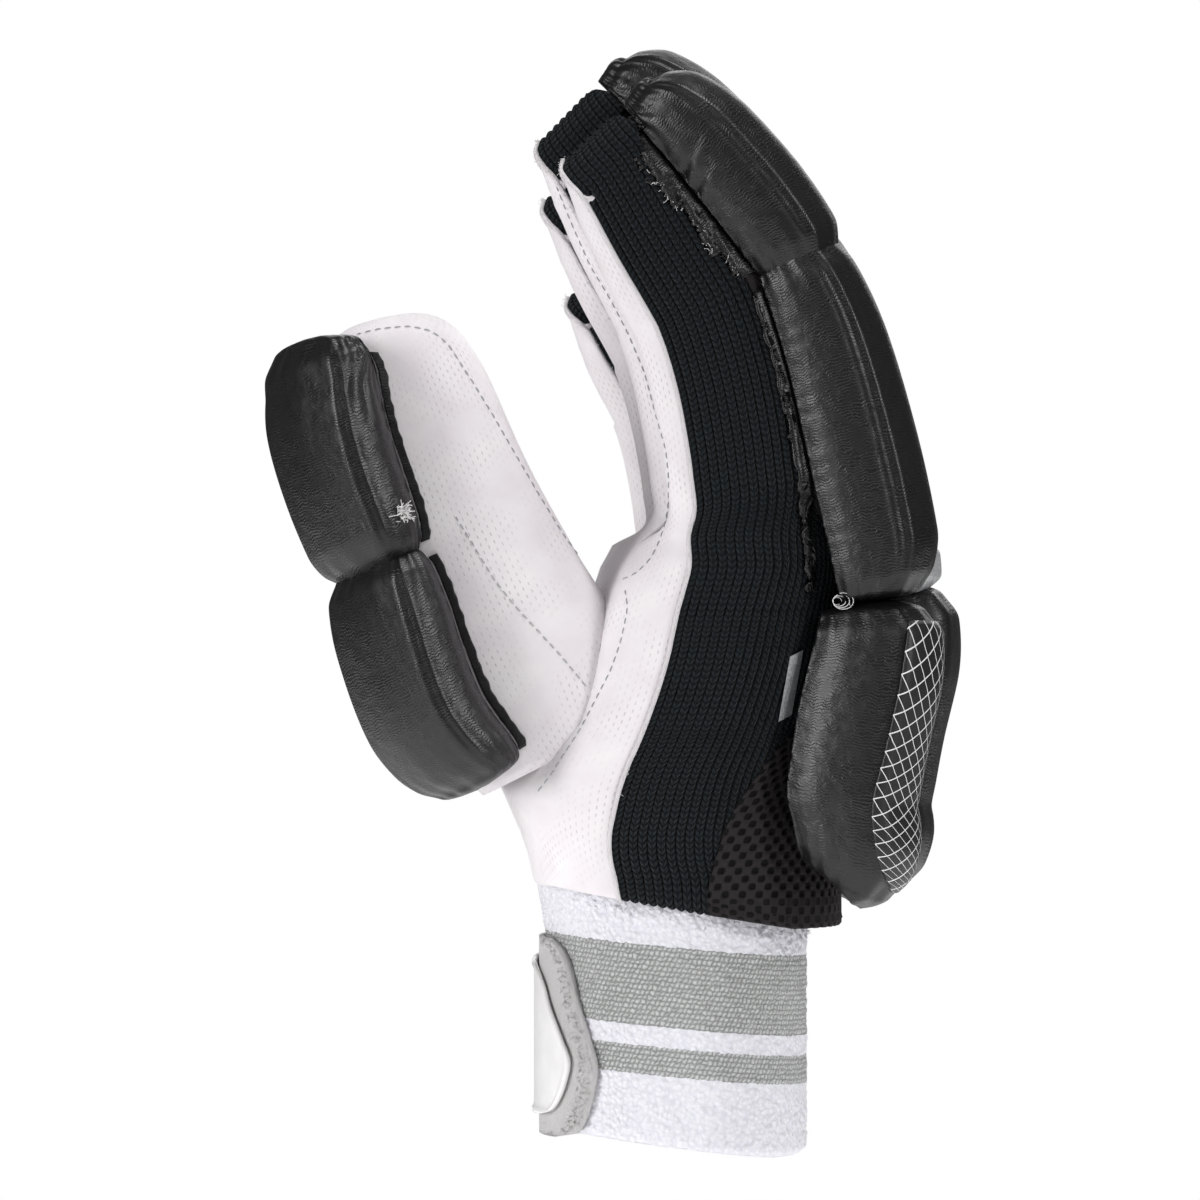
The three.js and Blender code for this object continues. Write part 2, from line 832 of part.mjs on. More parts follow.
const knitInner = gloveForm(-knitWall);
const knitShell = wall(knitInner)
  .subtract(palmRegion(clearance))
  .subtract(backRegion(clearance))
  .subtract(meshRegion(clearance));
fingers.forEach((finger) => {
  addPiece(
    `knit_${finger.name}`,
    knitShell.intersect(columnSlab(finger, wholeView, clearance)),
    knitBlack,
    0.95,
  );
});

fingers.forEach((finger) => {
  const size = { width: padWidth, thickness: finger.padThickness };
  const column = columnSlab(finger, wholeView, clearance);
  let below = null;
  [...padSeats].reverse().forEach((pad) => {
    const form = (grow) => padForm(fingerSeat(finger, pad), pad.sections, size, grow);
    const cut = form(0).subtract(cleared).intersect(column);
    addPiece(`${pad.name}_${finger.name}`, below ? cut.subtract(below) : cut, black, 0.45);
    below = form(clearance);
  });
});

handPads.forEach((pad) => {
  const size = { width: pad.width * handBreadth, thickness: pad.thickness * handDepth };
  const form = padForm(handSeat(pad), pad.sections ?? handPadSections, size);
  const colour = pad.name === "knuckle_patch" ? silver : black;
  addPiece(pad.name, form.subtract(cleared), colour, 0.45);
});

const thumbCleared = thumbForm(clearance);
let lowerThumbPad = null;
[...thumbPads].reverse().forEach((pad) => {
  const size = { width: pad.width * thumbWidth, thickness: pad.thickness * thumbThickness };
  const form = (grow) => padForm(thumbSeat(pad), thumbPadSections, size, grow);
  const cut = form(0).subtract(thumbCleared).subtract(cleared);
  addPiece(pad.name, lowerThumbPad ? cut.subtract(lowerThumbPad) : cut, black, 0.45);
  lowerThumbPad = form(clearance);
});

const cuff = cuffForm(0)
  .subtract(cuffForm(-towelWall))
  .subtract(cleared.subtract(gloveForm(-meshWall - clearance)))
  .subtract(belowCuff());
addPiece("cuff", cuff, towelWhite, 1);

addPiece(
  "strap",
  cuffBand(clearance, strapThickness).intersect(strapRegion(0)),
  towelWhite,
  0.8,
);

const patchFoot = clearance + strapThickness + clearance;
addPiece(
  "strap_patch",
  cuffBand(patchFoot, patchThickness).intersect(strapRegion(patchInset)),
  white,
  0.5,
);

const netPad = handPads[0];
const netSize = { width: netPad.width * handBreadth, thickness: netPad.thickness * handDepth };
const netForm = (grow) => padForm(handSeat(netPad), handPadSections, netSize, grow);
const netLine = netEdge.map((row) => [row.out * handDepth, heightAt(row.up)]);
const netTop = netLine[netLine.length - 1][1];
const netRegion = slab(
  [...netLine, [farReach, netTop], [farReach, netLine[0][1]]],
  -farReach,
  farReach,
);
const netPanel = netForm(clearance + netThickness)
  .subtract(netForm(clearance))
  .intersect(netRegion);
addPiece("net_panel", netPanel, black, 0.5);

const tabFoot = readTable(sideSeams, "up", "back", (tabHeight - wristHeight) / handHeight);
const tabOutline = [
  [0, 0],
  [tabWidth, tabWidth / 2],
  [tabWidth + tabLean * tabLength, tabLength],
  [tabLean * tabLength, tabLength - tabWidth / 2],
].map(([x, z]) => [tabFoot * handDepth - tabWidth + x, tabHeight + z]);
const tab = gloveForm(clearance + tabThickness)
  .subtract(cleared)
  .intersect(slab(tabOutline, -farReach, -handBreadth / 4));
addPiece("side_tab", tab, silver, 0.5);

const glove = new THREE.Group();
pieces.forEach(({ name, solid, colour, roughness, metalness }) => {
  const { vertProperties, triVerts } = solid.getMesh();
  const geometry = new THREE.BufferGeometry();
  geometry.setAttribute("position", new THREE.Float32BufferAttribute(vertProperties, 3));
  geometry.setIndex([...triVerts]);
  geometry.computeVertexNormals();
  const material = new THREE.MeshStandardMaterial({ color: colour, roughness, metalness });
  const mesh = new THREE.Mesh(geometry, material);
  mesh.name = name;
  glove.add(mesh);
});

export default glove;
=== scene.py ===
import bisect
import random
from math import atan, atan2, ceil, cos, pi, radians, sin
import bmesh
import bpy
import numpy as np
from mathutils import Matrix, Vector, noise
from mathutils.bvhtree import BVHTree


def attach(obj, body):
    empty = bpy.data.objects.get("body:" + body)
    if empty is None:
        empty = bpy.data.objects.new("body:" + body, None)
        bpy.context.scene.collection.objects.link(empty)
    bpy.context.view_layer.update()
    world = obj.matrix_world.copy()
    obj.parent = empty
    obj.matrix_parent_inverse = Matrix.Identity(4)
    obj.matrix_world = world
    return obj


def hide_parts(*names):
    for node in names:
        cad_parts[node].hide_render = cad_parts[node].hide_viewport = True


# Cricket batting glove for the right hand, empty. Lengths are millimetres until they go into a mesh.
mm = 0.001

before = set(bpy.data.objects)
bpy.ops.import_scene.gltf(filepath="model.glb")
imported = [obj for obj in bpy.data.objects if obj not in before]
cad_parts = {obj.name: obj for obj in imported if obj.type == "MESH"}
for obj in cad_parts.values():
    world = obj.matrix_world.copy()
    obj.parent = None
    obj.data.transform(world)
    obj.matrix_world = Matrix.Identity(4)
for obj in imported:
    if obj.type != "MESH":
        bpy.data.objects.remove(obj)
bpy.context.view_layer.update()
print("frame loaded:", len(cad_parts), "nodes")

hand = {
    "wrist": 62, "height": 112, "depth": 60, "breadth": 96, "arch": 6, "squareness": 2.9,
    "sections": [  # up, palm, back, breadth, cup
        (-0.063, -0.600, 0.600, 0.86, 0.00),
        (0.00, -0.590, 0.600, 0.86, 0.00),
        (0.11, -0.625, 0.555, 0.90, 0.00),
        (0.19, -0.685, 0.530, 0.93, 0.00),
        (0.25, -0.730, 0.510, 0.95, 0.01),
        (0.31, -0.680, 0.525, 0.965, 0.02),
        (0.40, -0.515, 0.550, 0.98, 0.03),
        (0.65, -0.340, 0.645, 1.00, 0.05),
        (0.73, -0.255, 0.655, 1.00, 0.12),
        (0.80, -0.125, 0.655, 1.00, 0.21),
        (0.93, -0.025, 0.600, 1.00, 0.21),
        (1.00, 0.050, 0.520, 0.97, 0.19),
    ],
    "seams": [  # up, palm edge and back edge of the knit
        (-0.20, -0.225, 0.900),
        (0.00, -0.235, 0.510),
        (0.13, -0.275, 0.490),
        (0.225, -0.245, 0.450),
        (0.29, -0.208, 0.445),
        (0.38, -0.135, 0.480),
        (0.53, -0.040, 0.530),
        (0.66, 0.015, 0.620),
        (0.74, 0.060, 0.620),
    ],
    "meshEdge": [  # up, out
        (-0.30, 0.10),
        (0.00, 0.13),
        (0.16, 0.20),
        (0.23, 0.26),
        (0.32, 0.37),
        (0.372, 0.46),
        (0.385, 0.60),
    ],
    "hemPalm": 66, "hemBack": 55.5, "meshTop": 0.385,
}

finger = {
    "pitch": 24, "width": 22.4, "knuckleBack": 39.5, "knuckleHeight": 149, "strip": 6.2, "flange": 4,
    "squareness": 2.7, "sideEnd": 0.955, "begin": -0.05, "crotch": 0.16,
    "frontRows": 26, "sideRows": 22, "tipRows": 12,
    "sections": [  # along, bend, depth, width, sink
        (-0.05, 11, 1.00, 0.98, 0.0),
        (0.12, 13, 1.00, 1.00, 0.0),
        (0.25, 12, 0.965, 1.00, 0.0),
        (0.46, 18, 0.94, 1.00, 0.0),
        (0.53, 23, 0.935, 1.00, 0.0),
        (0.61, 34, 0.92, 0.99, 0.0),
        (0.70, 38, 0.88, 0.97, 0.0),
        (0.80, 39, 0.81, 0.95, 0.0),
        (0.89, 43, 0.73, 0.92, 0.0),
        (0.96, 44, 0.65, 0.86, 0.0),
        (0.99, 44, 0.54, 0.72, 0.05),
        (1.00, 44, 0.40, 0.52, 0.12),
    ],
}
fingers = [
    {"name": "index", "column": -1.5, "length": 127, "depth": 37.5, "lift": 0, "slope": 0.34, "curl": 1.0,
     "heel": -0.085, "pad": 20.5},
    {"name": "middle", "column": -0.5, "length": 138, "depth": 42.5, "lift": 1.5, "slope": 0.08,
     "curl": 1.04, "heel": 0.055, "pad": 21.5},
    {"name": "ring", "column": 0.5, "length": 125, "depth": 42, "lift": -1, "slope": -0.08, "curl": 1.1,
     "heel": 0.06, "pad": 22},
    {"name": "little", "column": 1.5, "length": 97, "depth": 38.5, "lift": -8, "slope": -0.3, "curl": 1.14,
     "heel": -0.085, "pad": 19.5},
]

thumb = {
    "length": 119, "width": 46, "thickness": 31, "rootX": -29, "rootHeight": 98, "side": 24, "bulge": 3,
    "squareness": 2.3, "padTurn": 38,
    "sections": [  # along, bend, width, thickness
        (0.0, 27, 0.94, 0.90),
        (0.2, 26, 1.24, 1.00),
        (0.4, 23, 1.13, 1.00),
        (0.6, 22, 1.02, 0.97),
        (0.8, 19, 0.96, 0.90),
        (0.91, 16, 0.84, 0.78),
        (0.97, 14, 0.66, 0.60),
        (1.0, 13, 0.40, 0.36),
    ],
}

curves = {}


def blend(t, a, b, m, n, reach=1):
    # a point between a and b on the curve that leaves a along m and reaches b along n
    return (
        (2 * t**3 - 3 * t**2 + 1) * a
        + (t**3 - 2 * t**2 + t) * m * reach
        + (3 * t**2 - 2 * t**3) * b
        + (t**3 - t**2) * n * reach
    )


def stepsOf(points, axis=0):
    # how far apart neighbouring points lie
    return np.linalg.norm(np.diff(points, axis=axis), axis=-1)


def runOf(steps):
    return np.concatenate([[0], np.cumsum(steps)])


def readRun(at, run, points):
    # the points at these distances along a line
    return np.stack([np.interp(at, run, column) for column in points.T], -1)


def readAt(rows, at, column):
    # a short table read as a smooth curve that never overshoots its rows
    key = (id(rows), column)
    if key not in curves:
        xs = [row[0] for row in rows]
        ys = [row[column] for row in rows]
        rise = [(d - c) / (b - a) for a, b, c, d in zip(xs, xs[1:], ys, ys[1:])]
        middle = [0 if a * b <= 0 else 2 * a * b / (a + b) for a, b in zip(rise, rise[1:])]
        curves[key] = xs, ys, [rise[0], *middle, rise[-1]]
    xs, ys, rise = curves[key]
    if at <= xs[0]:
        return ys[0]
    if at >= xs[-1]:
        return ys[-1]
    i = bisect.bisect_right(xs, at) - 1
    h = xs[i + 1] - xs[i]
    return blend((at - xs[i]) / h, ys[i], ys[i + 1], rise[i], rise[i + 1], h)


def soften(value, squareness):
    return np.sign(value) * np.abs(value) ** (2 / squareness)


def hardTurn(share, squareness):
    # the turn at which a rounded outline has this share of its half depth
    return np.arccos(np.clip(np.sign(share) * np.abs(share) ** (squareness / 2), -1, 1))


def heightAt(up):
    return hand["wrist"] + up * hand["height"]


def halfBreadth(up):
    return readAt(hand["sections"], up, 3) * hand["breadth"] / 2


def handLimits(up, across):
    # palm and back of the hand at this height and place across it
    cup = readAt(hand["sections"], up, 4) * hand["depth"] * (across + 1) / 2
    palm = readAt(hand["sections"], up, 1) * hand["depth"] - cup
    back = readAt(hand["sections"], up, 2) * hand["depth"] + hand["arch"] * (1 - across**2)
    return palm, back


def hemHeight(x):
    half = hand["depth"] / 2
    share = np.clip((x + half) / (2 * half), 0, 1)
    return hand["hemPalm"] + share * (hand["hemBack"] - hand["hemPalm"])


def handRing(up, turns, grow=0.0):
    # turn 0 is the back of the hand, a quarter turn its thumb side, a half turn the palm
    out = soften(np.cos(turns), hand["squareness"])
    across = -soften(np.sin(turns), hand["squareness"])
    palm, back = handLimits(up, across)
    x = (palm - grow) + (back - palm + 2 * grow) * (out + 1) / 2
    half = halfBreadth(up) + grow
    z = np.full_like(x, heightAt(up))
    if up <= 0:
        z = hemHeight(x) + up * hand["height"]
    return np.stack([x, across * half, z], -1)


def bentLine(x, z, length, rows, curl, begin, steps=240):
    line = []
    step = (1 - begin) / steps
    for i in range(steps + 1):
        lean = radians(readAt(rows, begin + i * step, 1) * curl)
        line.append((x, z, lean))
        x -= sin(lean) * step * length
        z += cos(lean) * step * length
    return {"begin": begin, "step": step, "points": line}


def onLine(line, along):
    place = min(max((along - line["begin"]) / line["step"], 0), len(line["points"]) - 1.001)
    i = int(place)
    a, b = line["points"][i], line["points"][i + 1]
    return [low + (high - low) * (place - i) for low, high in zip(a, b)]


def placed(line, along, out, y, up=0.0):
    x, z, lean = onLine(line, along)
    x = x + out * cos(lean) - up * sin(lean)
    z = z + out * sin(lean) + up * cos(lean)
    return np.stack([x, y + 0 * out, z], -1)


for one in fingers:
    lead = finger["begin"] * one["length"]
    lean = radians(finger["sections"][0][1] * one["curl"])
    one["side"] = one["column"] * finger["pitch"]
    one["line"] = bentLine(
        finger["knuckleBack"] + one["lift"] - sin(lean) * lead,
        finger["knuckleHeight"] + cos(lean) * lead,
        one["length"], finger["sections"], one["curl"], finger["begin"],
    )
thumb["line"] = bentLine(thumb["rootX"], thumb["rootHeight"], thumb["length"], thumb["sections"], 1, 0)


def fingerRing(one, along, turns):
    depth, width, sink = [readAt(finger["sections"], along, column) for column in (2, 3, 4)]
    half = width * finger["width"] / 2
    out = soften(np.cos(turns), finger["squareness"])
    across = -soften(np.sin(turns), finger["squareness"])
    share = (out + 1) / 2
    low = -(depth + sink) * one["depth"]
    top = -sink * one["depth"]
    rise = one["slope"] * half * (across + np.sign(one["slope"])) * share * depth
    return placed(one["line"], along, low + (top - low) * share + rise, one["side"] + across * half)


def thumbRing(along, turns):
    width = readAt(thumb["sections"], along, 2) * thumb["width"] / 2
    thickness = readAt(thumb["sections"], along, 3) * thumb["thickness"] / 2
    out = soften(np.cos(turns), thumb["squareness"]) * width
    across = -soften(np.sin(turns), thumb["squareness"]) * thickness
    return placed(thumb["line"], along, out, across - thumb["side"] - thumb["bulge"] * along)


def evenRing(ring, start, end, count):
    # evenly spaced points on a ring between two turns
    turns = np.linspace(start, end, 240)
    run = runOf(stepsOf(ring(turns)))
    return ring(np.interp(np.linspace(0, run[-1], count), run, turns))


# Where a seam cuts a ring, as a turn on the thumb side
def handSeamTurn(up, column, far):
    edge = readAt(hand["seams"], up, column)
    if column == 2 and up < hand["meshTop"]:
        edge = min(edge, readAt(hand["meshEdge"], up, 1))
    palm, back = handLimits(up, 1 if far else -1)
    return float(hardTurn(2 * (edge * hand["depth"] - palm) / (back - palm) - 1, hand["squareness"]))


def fingerSeamTurn(one, along, column):
    depth = readAt(finger["sections"], along, 2) * one["depth"]
    if column == 2:
        return float(hardTurn(1 - 2 * finger["flange"] / depth, finger["squareness"]))
    strip = finger["strip"] * min(1, (depth / one["depth"]) ** 2 + 0.1)
    return float(hardTurn(2 * strip / depth - 1, finger["squareness"]))


def crossTurn(up, y, palmSide):
    half = halfBreadth(up)
    share = min(abs(y) / half, 1)
    lean = float(np.arcsin(share ** (hand["squareness"] / 2)))
    near = pi - lean if palmSide else lean
    return near if y < 0 else 2 * pi - near if palmSide else -near


def bandTurns(one, kind, up=None, along=None):
    # first and last turn of a piece on this finger's column, at this height of hand or finger
    first, last = one is fingers[0], one is fingers[-1]
    column = 1 if kind == "palm" else 2
    if along is not None:
        turn = fingerSeamTurn(one, along, column)
        return (turn, 2 * pi - turn) if kind == "palm" else (turn, -turn)
    half = finger["pitch"] / 2
    near = crossTurn(up, one["side"] - half, kind == "palm")
    far = crossTurn(up, one["side"] + half, kind == "palm")
    if first:
        near = handSeamTurn(up, column, False)
    if last:
        far = handSeamTurn(up, column, True)
        far = 2 * pi - far if kind == "palm" else -far
    return near, far


def refine(rows, spacing):
    # a smooth sheet through rows of points, with rows about this far apart
    rows = np.array(rows)
    at = runOf(np.maximum(stepsOf(rows).mean(axis=1), 1e-4))
    slopes = np.diff(rows, axis=0) / np.diff(at)[:, None, None]
    low, high = np.diff(at)[:-1, None, None], np.diff(at)[1:, None, None]
    inner = (slopes[:-1] * high + slopes[1:] * low) / (low + high)
    tangents = np.concatenate([slopes[:1], inner, slopes[-1:]])
    fine = []
    for s in np.linspace(0, at[-1], max(2, ceil(at[-1] / spacing)) + 1):
        i = min(bisect.bisect_right(list(at), s) - 1, len(at) - 2)
        h = at[i + 1] - at[i]
        fine.append(blend((s - at[i]) / h, rows[i], rows[i + 1], tangents[i], tangents[i + 1], h))
    return np.array(fine)


def sheetMesh(name, points, uv=None, closed=False, facing=None, keep=None):
    # a grid of quads moved onto rows of points, with its UV map in metres along the cloth
    rows, columns = points.shape[:2]
    if uv is None:
        u = runOf(stepsOf(points, 1).mean(axis=0))
        v = runOf(stepsOf(points).mean(axis=1))
        uv = np.stack(np.meshgrid(u, v), -1)
    bm = bmesh.new()
    bmesh.ops.create_grid(bm, x_segments=columns - 1, y_segments=rows - 1, size=0.5)
    layer = bm.loops.layers.uv.new("UVMap")
    cell = {}
    for vert in bm.verts:
        i = round((vert.co.y + 0.5) * (rows - 1))
        j = round((vert.co.x + 0.5) * (columns - 1))
        cell[vert] = i, j
    for face in bm.faces:
        for loop in face.loops:
            loop[layer].uv = uv[cell[loop.vert]] * mm
    for vert, place in cell.items():
        vert.co = points[place] * mm
    if keep is not None:
        lost = [vert for vert, place in cell.items() if not keep[place]]
        bmesh.ops.delete(bm, geom=lost, context="VERTS")
    if closed:
        bmesh.ops.remove_doubles(bm, verts=bm.verts, dist=0.00002)
    if facing is not None:
        bm.normal_update()
        place, outward = facing
        spot = Vector(place) * mm
        near = min(bm.faces, key=lambda face: (face.calc_center_median() - spot).length)
        if near.normal.dot(Vector(outward)) < 0:
            bmesh.ops.reverse_faces(bm, faces=bm.faces)
    return finished(name, bm)


def finished(name, bm):
    mesh = bpy.data.meshes.new(name)
    bm.to_mesh(mesh)
    bm.free()
    mesh.shade_smooth()
    piece = bpy.data.objects.new(name, mesh)
    bpy.context.collection.objects.link(piece)
    return piece


def thicken(piece, wall):
    layer = piece.modifiers.new("wall", "SOLIDIFY")
    layer.thickness = wall * mm
    layer.offset = -1
    layer.use_even_offset = False


def subdivide(piece):
    layer = piece.modifiers.new("smooth", "SUBSURF")
    layer.levels = layer.render_levels = 1
    layer.use_limit_surface = False


def dress(piece, material, slot, *nodes):
    piece.data.materials.append(material)
    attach(piece, "root")
    if nodes:
        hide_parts(*nodes)
    return piece


def clothPiece(name, points, wall, look, slot, node, **shape):
    # a walled sheet, dressed
    piece = sheetMesh(name, points, **shape)
    thicken(piece, wall)
    dress(piece, looks[look], slot, node)


# Materials
def shader(name, colour, roughness, specular=0.5, sheen=0):
    made = bpy.data.materials.new(name)
    made.use_nodes = True
    surface = made.node_tree.nodes["Principled BSDF"]
    surface.inputs["Base Color"].default_value = (*colour, 1)
    surface.inputs["Roughness"].default_value = roughness
    surface.inputs["Specular IOR Level"].default_value = specular
    surface.inputs["Sheen Weight"].default_value = sheen
    return made, made.node_tree, surface


def add(tree, kind, inputs=(), **settings):
    made = tree.nodes.new("ShaderNode" + kind)
    for key, value in settings.items():
        setattr(made, key, value)
    for key, value in dict(inputs).items():
        socket = made.inputs[key]
        if isinstance(value, bpy.types.NodeSocket):
            tree.links.new(value, socket)
        else:
            socket.default_value = value
    return made


def sums(tree, operation, *values):
    return add(tree, "Math", dict(enumerate(values)), operation=operation).outputs[0]


def times(tree, *values):
    return sums(tree, "MULTIPLY", *values)


def plus(tree, *values):
    return sums(tree, "ADD", *values)


def minus(tree, *values):
    return sums(tree, "SUBTRACT", *values)


def humps(tree, run):
    # a soft ridge over each whole step of a run
    return sums(tree, "SINE", times(tree, sums(tree, "FRACT", run), pi))


def between(tree, value, inputs):
    return add(tree, "MapRange", {"Value": value, **inputs}).outputs[0]


def noiseAt(tree, where, scale, detail=3, roughness=0.55, distortion=0):
    inputs = {"Vector": where, "Scale": scale, "Detail": detail, "Roughness": roughness,
              "Distortion": distortion}
    return add(tree, "TexNoise", inputs).outputs["Fac"]


def stretched(tree, where, scale, rotation=(0, 0, 0)):
    return add(tree, "Mapping", {"Vector": where, "Scale": scale, "Rotation": rotation}).outputs[0]


def ramp(tree, fac, stops):
    made = add(tree, "ValToRGB", {"Fac": fac})
    band = made.color_ramp
    while len(band.elements) < len(stops):
        band.elements.new(0.5)
    for element, (place, colour) in zip(band.elements, stops):
        element.position = place
        element.color = (*colour, 1)
    return made.outputs["Color"]


def painted(tree, surface, fac, stops):
    link(tree, ramp(tree, fac, stops), surface, "Base Color")


def bumped(tree, surface, height, distance, strength=1.0, before=None):
    inputs = {"Height": height, "Distance": distance, "Strength": strength}
    if before is not None:
        inputs["Normal"] = before
    bump = add(tree, "Bump", inputs).outputs[0]
    tree.links.new(bump, surface.inputs["Normal"])
    return bump


def link(tree, output, surface, name):
    tree.links.new(output, surface.inputs[name])


def mixed(tree, share, first, second):
    # the colour sockets of a Mix node follow its number and vector ones
    made = add(tree, "Mix", {0: share}, data_type="RGBA")
    for socket, value in ((made.inputs[6], first), (made.inputs[7], second)):
        if isinstance(value, bpy.types.NodeSocket):
            tree.links.new(value, socket)
        else:
            socket.default_value = value
    return made.outputs[2]


def blackPad():
    # soft coated leather: a fine grain of broken cross wrinkles, shinier on their tops
    made, tree, surface = shader("black pad leather", (0.008, 0.0075, 0.009), 0.36)
    where = add(tree, "TexCoord").outputs["UV"]
    parts = add(tree, "SeparateXYZ", {0: where})
    wander = noiseAt(tree, stretched(tree, where, (0.7, 0.35, 1)), 620, 2)
    bend = times(tree, minus(tree, wander, 0.5), 3.4)
    line = plus(tree, sums(tree, "DIVIDE", parts.outputs["Y"], padGrain["pitch"] * mm), bend)
    patchy = between(tree, noiseAt(tree, where, 260, 2), {"From Min": 0.3, "From Max": 0.62})
    grain = times(tree, sums(tree, "POWER", humps(tree, line), 0.5), patchy)
    fine = noiseAt(tree, where, 3600, 2)
    height = plus(tree, grain, times(tree, fine, 0.25))
    dents = bumped(tree, surface, noiseAt(tree, where, 110, 2), 0.0011, 0.3)
    bumped(tree, surface, height, 0.00013, 0.6, dents)
    broad = noiseAt(tree, where, 60, 3)
    painted(tree, surface, broad, [(0.3, (0.0035, 0.003, 0.0037)), (0.75, (0.0065, 0.0054, 0.0066))])
    link(tree, between(tree, grain, {"To Min": 0.42, "To Max": 0.32}), surface, "Roughness")
    return made


def ribbedKnit():
    # blue-black yarn: each rib is a chain of V stitches, from the UV map across and along the ribs
    made, tree, surface = shader("ribbed knit", (0.012, 0.018, 0.024), 0.9, 0.15, 0.05)
    where = add(tree, "TexCoord").outputs["UV"]
    parts = add(tree, "SeparateXYZ", {0: where})
    rib = sums(tree, "DIVIDE", parts.outputs["X"], knit["rib"] * mm)
    lean = sums(tree, "ABSOLUTE", minus(tree, sums(tree, "FRACT", rib), 0.5))
    rise = sums(tree, "DIVIDE", parts.outputs["Y"], knit["stitch"] * mm)
    jitter = times(tree, noiseAt(tree, where, 500, 2), 0.55)
    run = plus(tree, plus(tree, rise, times(tree, lean, -1.5)), jitter)
    leg = humps(tree, run)
    spine = between(tree, lean, {"From Min": 0.0, "From Max": 0.1})
    edge = between(tree, lean, {"From Min": 0.5, "From Max": 0.3})
    yarn = times(tree, leg, times(tree, sums(tree, "POWER", spine, 0.5), edge))
    fibre = noiseAt(tree, where, 4200, 3, 0.7)
    height = plus(tree, yarn, times(tree, fibre, 0.22))
    bumped(tree, surface, height, 0.0007, 1.0)
    # painted shade and highlight: the yarn is painted near black in the gaps between ribs and stitches and
    # lighter on its raised tops
    ribShadeAndHighlight = plus(tree, times(tree, yarn, 0.8), times(tree, fibre, 0.35))
    painted(tree, surface, ribShadeAndHighlight, [
        (0.15, (0.0008, 0.0012, 0.0018)), (0.6, (0.0045, 0.0072, 0.010)), (1.0, (0.014, 0.020, 0.026)),
    ])
    return made


def whiteLeather():
    # soft white leather with rows of tiny pricked dashes, from the UV map
    made, tree, surface = shader("white leather", (0.8, 0.765, 0.79), 0.72, 0.25, 0.25)
    where = add(tree, "TexCoord").outputs["UV"]
    parts = add(tree, "SeparateXYZ", {0: where})
    row = sums(tree, "DIVIDE", parts.outputs["X"], leather["rowGap"] * mm)
    shift = times(tree, sums(tree, "FLOOR", row), 0.37)
    rise = sums(tree, "DIVIDE", parts.outputs["Y"], leather["dashGap"] * mm)
    run = sums(tree, "FRACT", plus(tree, rise, shift))
    side = sums(tree, "ABSOLUTE", minus(tree, sums(tree, "FRACT", row), 0.5))
    dash = times(tree, sums(tree, "LESS_THAN", side, 0.09), sums(tree, "LESS_THAN", run, 0.42))
    patchy = between(tree, noiseAt(tree, where, 55, 2), {"From Min": 0.42, "From Max": 0.62})
    prick = times(tree, dash, patchy)
    nap = noiseAt(tree, where, 2600, 4, 0.65)
    soft = noiseAt(tree, where, 70, 4)
    height = minus(tree, plus(tree, times(tree, nap, 0.4), soft), times(tree, prick, 0.7))
    bumped(tree, surface, height, 0.00022, 0.7)
    tone = ramp(tree, soft, [(0.3, (0.79, 0.74, 0.77)), (0.7, (0.88, 0.85, 0.865))])
    # the pricked dashes are painted darker, as painted shade inside the pricks
    link(tree, mixed(tree, prick, tone, (0.62, 0.57, 0.59, 1)), surface, "Base Color")
    return made


def backingCloth():
    made, tree, surface = shader("backing cloth", (0.02, 0.016, 0.016), 0.85, 0.25)
    where = add(tree, "TexCoord").outputs["Object"]
    weave = add(tree, "TexVoronoi", {"Vector": where, "Scale": 1500}).outputs["Distance"]
    nap = noiseAt(tree, where, 3000, 3, 0.7)
    bumped(tree, surface, plus(tree, weave, nap), 0.0002, 0.8)
    painted(tree, surface, nap, [(0.3, (0.012, 0.010, 0.011)), (0.75, (0.032, 0.027, 0.028))])
    return made


def airMesh():
    # knitted spacer mesh: staggered oval holes between soft bars, as its relief has them
    made, tree, surface = shader("air mesh", (0.02, 0.016, 0.015), 0.8, 0.25)
    where = add(tree, "TexCoord").outputs["UV"]
    parts = add(tree, "SeparateXYZ", {0: where})
    waves = [sums(tree, "COSINE", times(tree, parts.outputs[axis], 2 * pi / (size * mm)))
             for axis, size in (("X", meshPanel["cellWidth"]), ("Y", meshPanel["cellHeight"]))]
    bars = between(tree, times(tree, *waves), {"From Min": 0.42, "From Max": 0.12})
    nap = noiseAt(tree, where, 3200, 3, 0.7)
    height = plus(tree, bars, times(tree, nap, 0.4))
    bumped(tree, surface, height, 0.0005, 1.0)
    yarn = mixed(tree, nap, (0.008, 0.0065, 0.007, 1), (0.03, 0.025, 0.026, 1))
    # painted shade: the holes are painted near black where the relief sinks between the bars
    link(tree, mixed(tree, bars, (0.0012, 0.001, 0.001, 1), yarn), surface, "Base Color")
    return made


